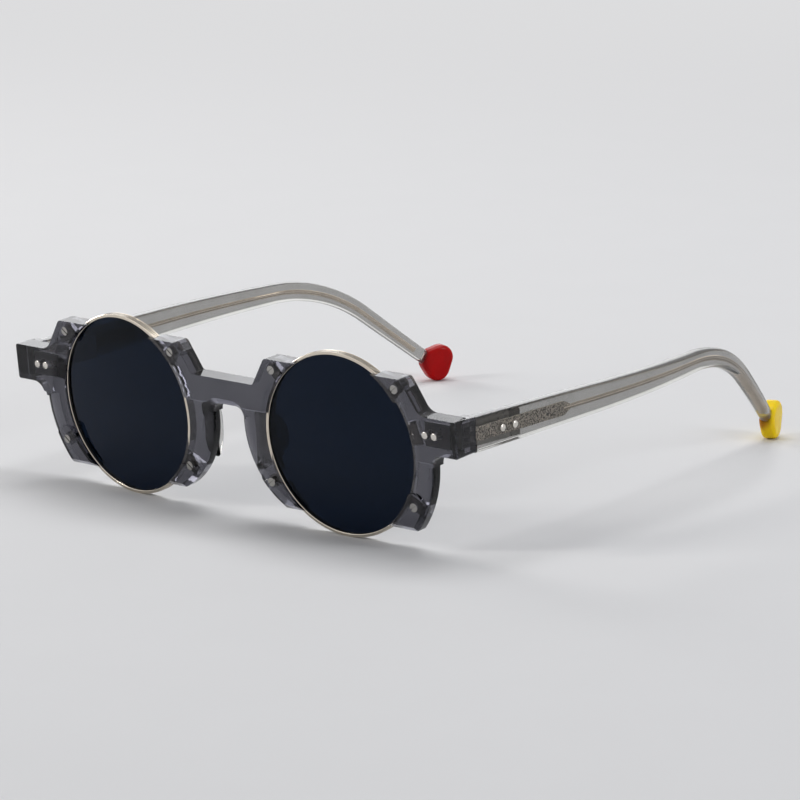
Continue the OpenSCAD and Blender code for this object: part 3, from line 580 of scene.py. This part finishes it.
def placed(made, place, side):
    """Puts a piece in its place inside its mesh, mirrored for the right side"""
    whole = Matrix.Diagonal((SIDES[side], 1, 1, 1)) @ place
    made.data.transform(whole)
    if whole.determinant() < 0:
        made.data.flip_normals()
    return made


def middle_y():
    """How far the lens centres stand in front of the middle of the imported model"""
    return sizes("front").hinge_behind - hinge_at.y


def front_place():
    """The front, leaning about the line through the lens centres"""
    front = sizes("front")
    return (Matrix.Translation((0, -middle_y(), front.lens_height))
            @ Matrix.Rotation(front.tilt, 4, "X"))


def lens_place():
    """Outwards, upwards and backwards from the centre of the left lens"""
    front = sizes("front")
    axes = Matrix(((1, 0, 0, 0), (0, 0, 1, 0), (0, 1, 0, 0), (0, 0, 0, 1)))
    return (front_place() @ Matrix.Translation((front.lens_x, 0, 0))
            @ Matrix.Rotation(front.wrap, 4, "Z") @ axes)


def temple_place():
    """The left temple, turned outwards about its hinge"""
    return (Matrix.Translation((hinge_at.x, hinge_at.y, 0))
            @ Matrix.Rotation(-sizes("temple").flare, 4, "Z"))


class TemplePath:
    """The middle line and the section of a temple, as in the solid"""

    taper = 1.3
    thinner = 0.004 * MM
    front_corner, end_corner = 0.8 * MM, 1.4 * MM
    corner_steps = 6

    def __init__(self):
        t = sizes("temple")
        self.t = t
        self.x = t.leaf_gap + t.front_thickness / 2
        self.z = hinge_at.z
        self.turn = t.rise + t.drop
        self.bend = t.bend_r * self.turn
        self.p0 = t.bend_at * math.cos(t.rise)
        self.z0 = self.z + t.bend_at * math.sin(t.rise)
        self.p1 = self.p0 + t.bend_r * (math.sin(t.rise) + math.sin(t.drop))
        self.z1 = self.z0 + t.bend_r * (math.cos(t.drop) - math.cos(t.rise))
        self.fall = (self.z1 - t.end_height_above) / math.sin(t.drop)
        self.length = t.bend_at + self.bend + self.fall

    def side(self, s):
        """Way back, height and slope of the middle line at a length along it"""
        t = self.t
        if s <= t.bend_at:
            return s * math.cos(t.rise), self.z + s * math.sin(t.rise), t.rise
        if s <= t.bend_at + self.bend:
            a = t.rise - (s - t.bend_at) / t.bend_r
            return (self.p0 + t.bend_r * (math.sin(t.rise) - math.sin(a)),
                    self.z0 + t.bend_r * (math.cos(a) - math.cos(t.rise)), a)
        d = s - t.bend_at - self.bend
        return self.p1 + d * math.cos(t.drop), self.z1 - d * math.sin(t.drop), -t.drop

    def plan(self, p):
        """Place and turn in plan of the middle line at a way back"""
        t = self.t
        if p <= t.curve_at:
            return self.x, p, 0.0
        b = (p - t.curve_at) / t.curve_r
        return self.x - t.curve_r * (1 - math.cos(b)), t.curve_at + t.curve_r * math.sin(b), b

    def height(self, s):
        t = self.t
        if s <= t.bend_at:
            share = 1 - (s / t.bend_at) ** self.taper
            return t.bend_height + (t.front_height - t.bend_height) * share
        share = (s - t.bend_at) / (self.length - t.bend_at)
        return t.bend_height + (t.end_height - t.bend_height) * share

    def thickness(self, s):
        t = self.t
        return t.front_thickness + (t.end_thickness - t.front_thickness) * s / self.length

    def point(self, s, a, b):
        """Point a outwards and b upwards from the middle line"""
        p, z, slope = self.side(s)
        x, y, turn = self.plan(p)
        return Vector((
            x + a * math.cos(turn) + b * math.sin(slope) * math.sin(turn),
            y + a * math.sin(turn) - b * math.sin(slope) * math.cos(turn),
            z + b * math.cos(slope)))

    def ring(self, s, inset=0.0):
        """Section with rounded corners at a length along the temple"""
        hw = self.thickness(s) / 2 - inset - self.thinner
        hh = self.height(s) / 2 - inset
        r = self.front_corner + (self.end_corner - self.front_corner) * s / self.length
        points = []
        for x, y, start in ((1, -1, 270), (1, 1, 0), (-1, 1, 90), (-1, -1, 180)):
            for k in range(self.corner_steps):
                turn = math.radians(start + 90 * k / (self.corner_steps - 1))
                points.append(self.point(
                    s, x * (hw - r) + r * math.cos(turn), y * (hh - r) + r * math.sin(turn)))
        return points


# Geometry Nodes for what repeats

class Growth:
    """A Geometry Nodes tree with named inputs, made one call at a time"""

    def __init__(self, name, inputs):
        self.tree = bpy.data.node_groups.new(name, "GeometryNodeTree")
        face = self.tree.interface
        face.new_socket("Geometry", in_out="INPUT", socket_type="NodeSocketGeometry")
        self.values = {}
        for label, (kind, value) in inputs.items():
            socket = face.new_socket(label, in_out="INPUT", socket_type=kind)
            self.values[socket.identifier] = value
        face.new_socket("Geometry", in_out="OUTPUT", socket_type="NodeSocketGeometry")
        self.source = self.tree.nodes.new("NodeGroupInput")
        self.sink = self.tree.nodes.new("NodeGroupOutput")

    def given(self, label):
        return self.source.outputs[label]

    def node(self, kind, settings, values, output=0):
        made = self.tree.nodes.new(kind)
        for key, value in settings.items():
            setattr(made, key, value)
        for key, value in values.items():
            for source in value if isinstance(value, list) else [value]:
                if isinstance(source, bpy.types.NodeSocket):
                    self.tree.links.new(source, made.inputs[key])
                else:
                    made.inputs[key].default_value = source
        return made.outputs[output]

    def maths(self, operation, first, second):
        return self.node("ShaderNodeMath", {"operation": operation}, {0: first, 1: second})

    def grow(self, made, result, material):
        """Ends the tree, runs it on an object and leaves a plain mesh"""
        real = self.node("GeometryNodeRealizeInstances", {}, {"Geometry": result})
        painted = self.node("GeometryNodeSetMaterial", {}, {
            "Geometry": real, "Material": self.given(material)})
        self.tree.links.new(painted, self.sink.inputs[0])
        modifier = made.modifiers.new(self.tree.name, "NODES")
        modifier.node_group = self.tree
        for identifier, value in self.values.items():
            modifier[identifier] = value
        return plain(made)


def mill_ribs(made, radius, depth, width, height, ribs, lean, material):
    """Oblique ribs on a ring about z"""
    growth = Growth("Milled ribs", {
        "Ribs": ("NodeSocketInt", ribs), "Radius": ("NodeSocketFloat", radius),
        "Depth": ("NodeSocketFloat", depth), "Width": ("NodeSocketFloat", width),
        "Height": ("NodeSocketFloat", height), "Lean": ("NodeSocketFloat", lean),
        "Material": ("NodeSocketMaterial", material)})
    circle = growth.node("GeometryNodeMeshCircle", {"fill_type": "NONE"}, {
        "Vertices": growth.given("Ribs"), "Radius": growth.given("Radius")})
    size = growth.node("ShaderNodeCombineXYZ", {}, {
        "X": growth.given("Height"), "Y": growth.given("Width"), "Z": growth.given("Depth")})
    rib = growth.node("GeometryNodeMeshCube", {}, {"Size": size})
    index = growth.node("GeometryNodeInputIndex", {}, {})
    part = growth.maths("DIVIDE", index, growth.given("Ribs"))
    turn = growth.maths("MULTIPLY", part, 2 * math.pi)
    angles = growth.node("ShaderNodeCombineXYZ", {}, {"X": growth.given("Lean"), "Z": turn})
    spread = growth.node("GeometryNodeInstanceOnPoints", {}, {
        "Points": circle, "Instance": rib, "Rotation": angles})
    joined = growth.node("GeometryNodeJoinGeometry", {}, {
        "Geometry": [growth.given("Geometry"), spread]})
    return growth.grow(made, joined, "Material")


def scatter_grains(made, density, size, seed, material):
    """Small raised grains over a plate"""
    smallest, largest = 0.6, 1.5
    growth = Growth("Stipple", {
        "Density": ("NodeSocketFloat", density), "Grain": ("NodeSocketFloat", size),
        "Seed": ("NodeSocketInt", seed), "Material": ("NodeSocketMaterial", material)})
    points = growth.node("GeometryNodeDistributePointsOnFaces", {}, {
        "Mesh": growth.given("Geometry"), "Density": growth.given("Density"),
        "Seed": growth.given("Seed")})
    grain = growth.node("GeometryNodeMeshIcoSphere", {}, {
        "Radius": growth.given("Grain"), "Subdivisions": 1})
    scale = growth.node("FunctionNodeRandomValue", {"data_type": "FLOAT"}, {
        2: smallest, 3: largest, "Seed": growth.given("Seed")}, 1)
    spread = growth.node("GeometryNodeInstanceOnPoints", {}, {
        "Points": points, "Instance": grain, "Scale": scale})
    joined = growth.node("GeometryNodeJoinGeometry", {}, {
        "Geometry": [growth.given("Geometry"), spread]})
    return growth.grow(made, joined, "Material")


def set_rivets(made, radius, length, dome, direction, material):
    """Pins with domed heads on the points of a mesh"""
    sides = 40
    growth = Growth("Rivets", {
        "Radius": ("NodeSocketFloat", radius), "Length": ("NodeSocketFloat", length),
        "Dome": ("NodeSocketFloat", dome), "Direction": ("NodeSocketVector", direction),
        "Material": ("NodeSocketMaterial", material)})
    shank = growth.node("GeometryNodeMeshCylinder", {}, {
        "Vertices": sides, "Radius": growth.given("Radius"), "Depth": growth.given("Length")})
    low = growth.node("ShaderNodeCombineXYZ", {}, {
        "Z": growth.maths("MULTIPLY", growth.given("Length"), -0.5)})
    pin = growth.node("GeometryNodeTransform", {}, {"Geometry": shank, "Translation": low})
    ball = growth.node("GeometryNodeMeshUVSphere", {}, {
        "Segments": sides, "Rings": 12, "Radius": growth.given("Radius")})
    flat = growth.maths("DIVIDE", growth.given("Dome"), growth.given("Radius"))
    squash = growth.node("ShaderNodeCombineXYZ", {}, {"X": 1.0, "Y": 1.0, "Z": flat})
    head = growth.node("GeometryNodeTransform", {}, {"Geometry": ball, "Scale": squash})
    rivet = growth.node("GeometryNodeJoinGeometry", {}, {"Geometry": [pin, head]})
    turned = growth.node("FunctionNodeAlignRotationToVector", {"axis": "Z"}, {
        "Vector": growth.given("Direction")})
    spread = growth.node("GeometryNodeInstanceOnPoints", {}, {
        "Points": growth.given("Geometry"), "Instance": rivet, "Rotation": turned})
    return growth.grow(made, spread, "Material")


# Pieces

class SUNGLASSES_OT_front(bpy.types.Operator):
    """Polished smoke acetate of the bridge piece and the end pieces"""

    bl_idname = "sunglasses.front"
    bl_label = "Acetate front"

    def execute(self, context):
        edge = sizes("front").edge
        for node in ("bridge", "end_piece_left", "end_piece_right"):
            made = merged_copy(node, node + "_polished", edge)
            dress(made, "smoke_acetate", "front")
            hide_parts(node)
        return {"FINISHED"}


class SUNGLASSES_OT_rims(bpy.types.Operator):
    """Plated rims with a milled band between two lips"""

    bl_idname = "sunglasses.rims"
    bl_label = "Milled rims"

    def execute(self, context):
        rim = sizes("rim")
        inner, outer, depth = rim.opening_r, rim.opening_r + rim.wall, rim.depth
        steps = 240
        round_r, rib_width, rib_lean = 0.12 * MM, 0.21 * MM, math.radians(18)
        rib_length = depth - 2 * LIP - 0.16 * MM
        rib_out = 0.9 * rim.rib_height
        groove = rim.groove + SEAT_CLEAR
        band = outer - rim.rib_height
        half = rim.lens_edge / 2 + SEAT_CLEAR
        profile = [
            (inner, round_r), (inner + round_r, 0), (outer - round_r, 0), (outer, round_r),
            (outer, LIP), (band, LIP + LIP_SLOPE), (band, depth - LIP - LIP_SLOPE),
            (outer, depth - LIP), (outer, depth - round_r), (outer - round_r, depth),
            (inner + round_r, depth), (inner, depth - round_r), (inner, depth / 2 + half),
            (inner + groove, depth / 2 + half), (inner + groove, depth / 2 - half),
            (inner, depth / 2 - half)]
        for side in SIDES:
            made = add_object("rim_milled_" + side, lathe(profile, steps, "rim", rim.split / outer))
            made.data.transform(Matrix.Translation((0, 0, -depth / 2)))
            made = mill_ribs(
                made, band, rib_length, rib_width, 2 * rib_out, rim.ribs, rib_lean,
                finish_of("milled_metal"))
            made.data.transform(Matrix.Translation((0, 0, depth / 2)))
            placed(made, lens_place() @ Matrix.Rotation(rim.block_angle, 4, "Z"), side)
            dress(made, "milled_metal", "front")
            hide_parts("rim_" + side)
        return {"FINISHED"}


class SUNGLASSES_OT_lenses(bpy.types.Operator):
    """Dark curved lenses seated in the grooves"""

    bl_idname = "sunglasses.lenses"
    bl_label = "Lenses"

    def execute(self, context):
        rim = sizes("rim")
        edge_r = rim.opening_r + rim.groove
        across, around = 24, 160

        def bow(r):
            """Depth of a lens face behind its edge"""
            return (math.sqrt(rim.lens_curve ** 2 - edge_r ** 2)
                    - math.sqrt(rim.lens_curve ** 2 - r ** 2))

        radii = [edge_r * k / across for k in range(across + 1)]
        front = [(r, bow(r)) for r in radii]
        back = [(r, bow(r) + rim.lens_edge) for r in reversed(radii)]
        start = (rim.depth - rim.lens_edge) / 2
        for side in SIDES:
            made = add_object("lens_dark_" + side, lathe(front + back, around, "lens"))
            placed(made, lens_place() @ Matrix.Translation((0, 0, start)), side)
            dress(made, "lens", "front")
            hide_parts("lens_" + side)
        return {"FINISHED"}


class SUNGLASSES_OT_fittings(bpy.types.Operator):
    """Lugs, closing blocks, screws and hinges with broken edges"""

    bl_idname = "sunglasses.fittings"
    bl_label = "Screws, lugs and hinges"

    def execute(self, context):
        stays = (0, 0, 0)
        forwards = (0, -0.12 * MM, 0)
        for side in SIDES:
            outwards = (SIDES[side] * 0.03 * MM, 0, 0)
            for kind, edge, finish, body, seat in (
                    ("rim_lugs_", 0.08, "champagne_metal", "front", stays),
                    ("closing_block_", 0.08, "champagne_metal", "front", stays),
                    ("closing_screw_", 0.04, "steel", "front", stays),
                    ("claw_screws_", 0.25, "screw_steel", "front", stays),
                    ("front_hinge_", 0.07, "plate_steel", "front", forwards),
                    ("hinge_screw_", 0.05, "steel", "front", stays),
                    ("temple_hinge_", 0.07, "hinge_steel", "arm_" + side, outwards)):
                node = kind + side
                made = merged_copy(node, node + "_finished", edge * MM, segments=2)
                made.data.transform(Matrix.Translation(seat))
                dress(made, finish, body)
                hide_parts(node)
        return {"FINISHED"}


class SUNGLASSES_OT_pads(bpy.types.Operator):
    """Clear nose pads with round edges"""

    bl_idname = "sunglasses.pads"
    bl_label = "Nose pads"

    def execute(self, context):
        edge = 0.2 * MM
        for side in SIDES:
            made = merged_copy("nose_pad_" + side, "nose_pad_polished_" + side, edge)
            dress(made, "clear_acetate", "front")
            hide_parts("nose_pad_" + side)
        return {"FINISHED"}


class SUNGLASSES_OT_temples(bpy.types.Operator):
    """Clear acetate temples swept along the ear bend"""

    bl_idname = "sunglasses.temples"
    bl_label = "Temples"

    def execute(self, context):
        path = TemplePath()
        steps, round_steps = 150, 3
        start, round_in = 0.24 * MM, 0.3 * MM
        for side in SIDES:
            rings = [path.ring(start * k / round_steps, round_in * (1 - k / round_steps))
                     for k in range(round_steps)]
            rings += [path.ring(start + (path.length - start) * k / steps)
                      for k in range(steps + 1)]
            made = add_object("temple_clear_" + side, skin(rings, "temple"))
            placed(made, temple_place(), side)
            dress(made, "clear_acetate", "arm_" + side)
            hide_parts("temple_" + side)
        return {"FINISHED"}


class SUNGLASSES_OT_cores(bpy.types.Operator):
    """Core wires with their stippled shield plates"""

    bl_idname = "sunglasses.cores"
    bl_label = "Core wires"

    def execute(self, context):
        path = TemplePath()
        t = sizes("temple")
        start, high = 0.6 * MM, t.shield_height / 2
        under_grains = 0.94
        steps, wire_sides = 120, 16
        point = t.shield_length + t.shield_point
        outline = [(start, -high), (t.shield_length, -high), (point, 0), (t.shield_length, high),
                   (start, high)]
        shift = (Matrix.Translation((path.x, 0, path.z)) @ Matrix.Rotation(t.rise, 4, "X")
                 @ Matrix(((0, 0, 1, 0), (1, 0, 0, 0), (0, 1, 0, 0), (0, 0, 0, 1))))
        for side in SIDES:
            rings = [[Vector((x, y, z)) for x, y in outline]
                     for z in (-t.shield_thickness / 2, t.shield_thickness / 2)]
            plate = add_object("shield_plate_" + side, skin(rings, "shield"))
            plate.data.transform(Matrix.Diagonal((1, 1, under_grains, 1)))
            plate = scatter_grains(
                plate, density=1.1e7, size=0.085 * MM, seed=4, material=finish_of("shield_metal"))
            placed(plate, temple_place() @ shift, side)
            dress(plate, "shield_metal", "arm_" + side)

            def wire_ring(s):
                return [path.point(s, t.wire_r * math.cos(a), t.wire_r * math.sin(a))
                        for a in (2 * math.pi * k / wire_sides for k in range(wire_sides))]

            first, last = t.shield_length, path.length - t.wire_short
            rings = [wire_ring(first + (last - first) * k / steps) for k in range(steps + 1)]
            wire = add_object("core_wire_drawn_" + side, skin(rings, "wire"))
            placed(wire, temple_place(), side)
            dress(wire, "wire_metal", "arm_" + side)
            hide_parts("core_wire_" + side)
        return {"FINISHED"}


class SUNGLASSES_OT_rivets(bpy.types.Operator):
    """Domed rivets through the end pieces and the temples"""

    bl_idname = "sunglasses.rivets"
    bl_label = "Rivets"

    def execute(self, context):
        t = sizes("temple")
        tilt = sizes("front").tilt
        path = TemplePath()
        silver = finish_of("rivet_metal")
        front_sunk, temple_sunk = 0.01 * MM, 0.02 * MM
        snug, inner_end = 0.015 * MM, 0.75 * MM
        rows, thickness_at = (9.5 * MM, 13.9 * MM), 10 * MM
        for side in SIDES:
            low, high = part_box("front_rivets_" + side)
            middle = (low.z + high.z) / 2
            cut = t.rivet_r * math.tan(tilt)
            made = add_object("front_rivets_domed_" + side, spots(
                (x, low.y + cut + front_sunk, middle)
                for x in (low.x + t.rivet_r, high.x - t.rivet_r)))
            made = set_rivets(
                made, t.rivet_r + snug, high.y - low.y - cut, RIVET_DOME,
                (0, -math.cos(tilt), -math.sin(tilt)), silver)
            dress(made, "rivet_metal", "front")
            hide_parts("front_rivets_" + side)

            out = path.x + path.thickness(thickness_at) / 2 - temple_sunk
            made = add_object("temple_rivets_domed_" + side, spots(
                (out, y, path.z + y * math.sin(t.rise)) for y in rows))
            made = set_rivets(made, t.rivet_r, out - inner_end, RIVET_DOME, (1, 0, 0), silver)
            placed(made, temple_place(), side)
            dress(made, "rivet_metal", "arm_" + side)
            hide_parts("temple_rivets_" + side)
        return {"FINISHED"}


class SUNGLASSES_OT_tips(bpy.types.Operator):
    """Coloured tips, broad at the top and pointed at the ground"""

    bl_idname = "sunglasses.tips"
    bl_label = "Tips"

    def execute(self, context):
        tip = sizes("tip")
        path = TemplePath()
        inwards, point_x = 0.6 * MM, 0.1 * MM
        p = path.side(path.length)[0]
        at_x, at_y, turn = path.plan(p)
        at_x -= (tip.behind - inwards) * math.sin(turn)
        at_y += tip.behind * math.cos(turn)
        low = tip.height / 2 - tip.corner
        wide = tip.width / 2 - tip.corner
        corners = ((point_x, -low), (wide, low), (-wide, low / 2))
        circles = [(x, y, tip.corner) for x, y in corners]
        place = (Matrix.Translation((at_x, at_y, tip.height / 2)) @ Matrix.Rotation(turn, 4, "Z")
                 @ Matrix(((0, 0, 1, 0), (1, 0, 0, 0), (0, 1, 0, 0), (0, 0, 0, 1))))
        for side, finish in (("left", "yellow_tip"), ("right", "red_tip")):
            made = add_object("tip_polished_" + side, pillow(
                lambda inset: rounded_hull(circles, inset), tip.thickness, tip.edge, "tip"))
            placed(made, temple_place() @ place, side)
            dress(made, finish, "arm_" + side)
            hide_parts("tip_" + side)
        return {"FINISHED"}


class SUNGLASSES_OT_studio(bpy.types.Operator):
    """Pale floor, soft lamps and the camera of the photograph"""

    bl_idname = "sunglasses.studio"
    bl_label = "Studio"

    def execute(self, context):
        studio = sizes("studio")
        scene = context.scene
        far, below = 6, 0.02 * MM
        fade_from, fade_to = 0.22, 0.85
        mesh = bpy.data.meshes.new("floor")
        mesh.from_pydata(
            [(x, y, -below) for x, y in ((-far, -far), (far, -far), (far, far), (-far, far))],
            [], [(0, 1, 2, 3)])
        floor = add_object("floor", mesh)
        paint = Paint("floor")
        grain = paint.noise(40.0, detail=4.0)
        tone = tuple(studio.floor)
        matt = paint.principled(
            Base_Color=paint.mix(grain, tinted(tone, 0.99), tinted(tone, 1.01)), Roughness=0.75,
            Specular_IOR_Level=0.0)
        away = (paint.part("X") ** 2.0 + paint.part("Y") ** 2.0) ** 0.5
        plain_tone = paint.node("ShaderNodeEmission", {}, {"Color": (*tone, 1.0)})
        floor.data.materials.append(paint.finish(paint.node("ShaderNodeMixShader", {}, {
            0: away.ramp(fade_from, fade_to) * paint.seen(), 1: matt, 2: plain_tone})))

        paint = Paint("studio", "worlds")
        light = paint.node("ShaderNodeBackground", {}, {
            "Color": (0.92, 0.95, 1.0, 1.0), "Strength": 0.2})
        backdrop = paint.node("ShaderNodeBackground", {}, {"Color": (*tone, 1.0)})
        scene.world = paint.finish(paint.node("ShaderNodeMixShader", {}, {
            0: paint.seen(), 1: light, 2: backdrop}), "ShaderNodeOutputWorld")

        middle = (0, 0, 0.02)
        cool = (0.97, 0.98, 1.0)
        for name, place, aim, width, height, watts, tint in (
                ("top_box", (-0.1, 0.3, 1.3), (0, 0, 0), 1.0, 0.8, 8.8, (1, 1, 1)),
                ("back_box", (-1.45, 1.6, 0.72), middle, 2.0, 0.9, 7.0, cool),
                ("side_box", (1.3, 0.3, 0.6), middle, 0.3, 0.9, 6.0, cool),
                ("front_strip", (-0.9, -1.1, 0.8), middle, 0.12, 0.7, 7.0, (1.0, 0.98, 0.95)),
                ("left_box", (-1.3, 0.1, 0.42), middle, 0.4, 0.7, 7.0, (1.0, 0.98, 0.96))):
            data = bpy.data.lights.new(name, "AREA")
            data.shape = "RECTANGLE"
            data.size, data.size_y = width, height
            data.energy = watts
            data.color = tint
            made = add_object(name, data)
            made.location = place
            made.rotation_euler = (Vector(aim) - Vector(place)).to_track_quat("-Z", "Y").to_euler()

        azimuth, elevation = studio.azimuth, studio.elevation
        back = Vector((math.sin(azimuth) * math.cos(elevation),
                       -math.cos(azimuth) * math.cos(elevation), math.sin(elevation)))
        level = Vector((math.cos(azimuth), math.sin(azimuth), 0))
        rise = back.cross(level)
        right = level * math.cos(studio.roll) + rise * math.sin(studio.roll)
        up = back.cross(right)
        camera = add_object("camera", bpy.data.cameras.new("camera"))
        turn = Matrix((right, up, back)).transposed()
        camera.matrix_world = Matrix.Translation(
            Vector(studio.aim) + back * studio.distance) @ turn.to_4x4()
        camera.data.lens = studio.lens
        camera.data.clip_start, camera.data.clip_end = 0.01, 30.0
        scene.camera = camera
        scene.view_settings.view_transform = "Standard"
        return {"FINISHED"}


class SUNGLASSES_PT_panel(bpy.types.Panel):
    """Lists the pieces and the studio"""

    bl_idname = "SUNGLASSES_PT_panel"
    bl_label = "Sunglasses"
    bl_space_type = "VIEW_3D"
    bl_region_type = "UI"
    bl_category = "Sunglasses"

    def draw(self, context):
        for operator in PIECES:
            self.layout.operator(operator.bl_idname)
        for group in GROUPS:
            box = self.layout.box()
            for name in GROUPS[group].__annotations__:
                box.prop(sizes(group), name)


GROUPS = {"front": FrontSizes, "rim": RimSizes, "temple": TempleSizes, "tip": TipSizes,
          "studio": StudioSettings}
PIECES = (
    SUNGLASSES_OT_studio, SUNGLASSES_OT_front, SUNGLASSES_OT_rims, SUNGLASSES_OT_lenses,
    SUNGLASSES_OT_fittings, SUNGLASSES_OT_pads, SUNGLASSES_OT_temples, SUNGLASSES_OT_cores,
    SUNGLASSES_OT_rivets, SUNGLASSES_OT_tips)


def register():
    for group, kind in GROUPS.items():
        bpy.utils.register_class(kind)
        setattr(bpy.types.Scene, "sunglasses_" + group, bpy.props.PointerProperty(type=kind))
    for kind in PIECES + (SUNGLASSES_PT_panel,):
        bpy.utils.register_class(kind)


def unregister():
    for kind in reversed(PIECES + (SUNGLASSES_PT_panel,)):
        bpy.utils.unregister_class(kind)
    for group, kind in GROUPS.items():
        delattr(bpy.types.Scene, "sunglasses_" + group)
        bpy.utils.unregister_class(kind)


def main():
    register()
    for operator in PIECES:
        if getattr(bpy.ops.sunglasses, operator.bl_idname.split(".")[1])() != {"FINISHED"}:
            raise RuntimeError(operator.bl_label + " was not made")
    bpy.context.view_layer.update()


if __name__ == "__main__":
    main()
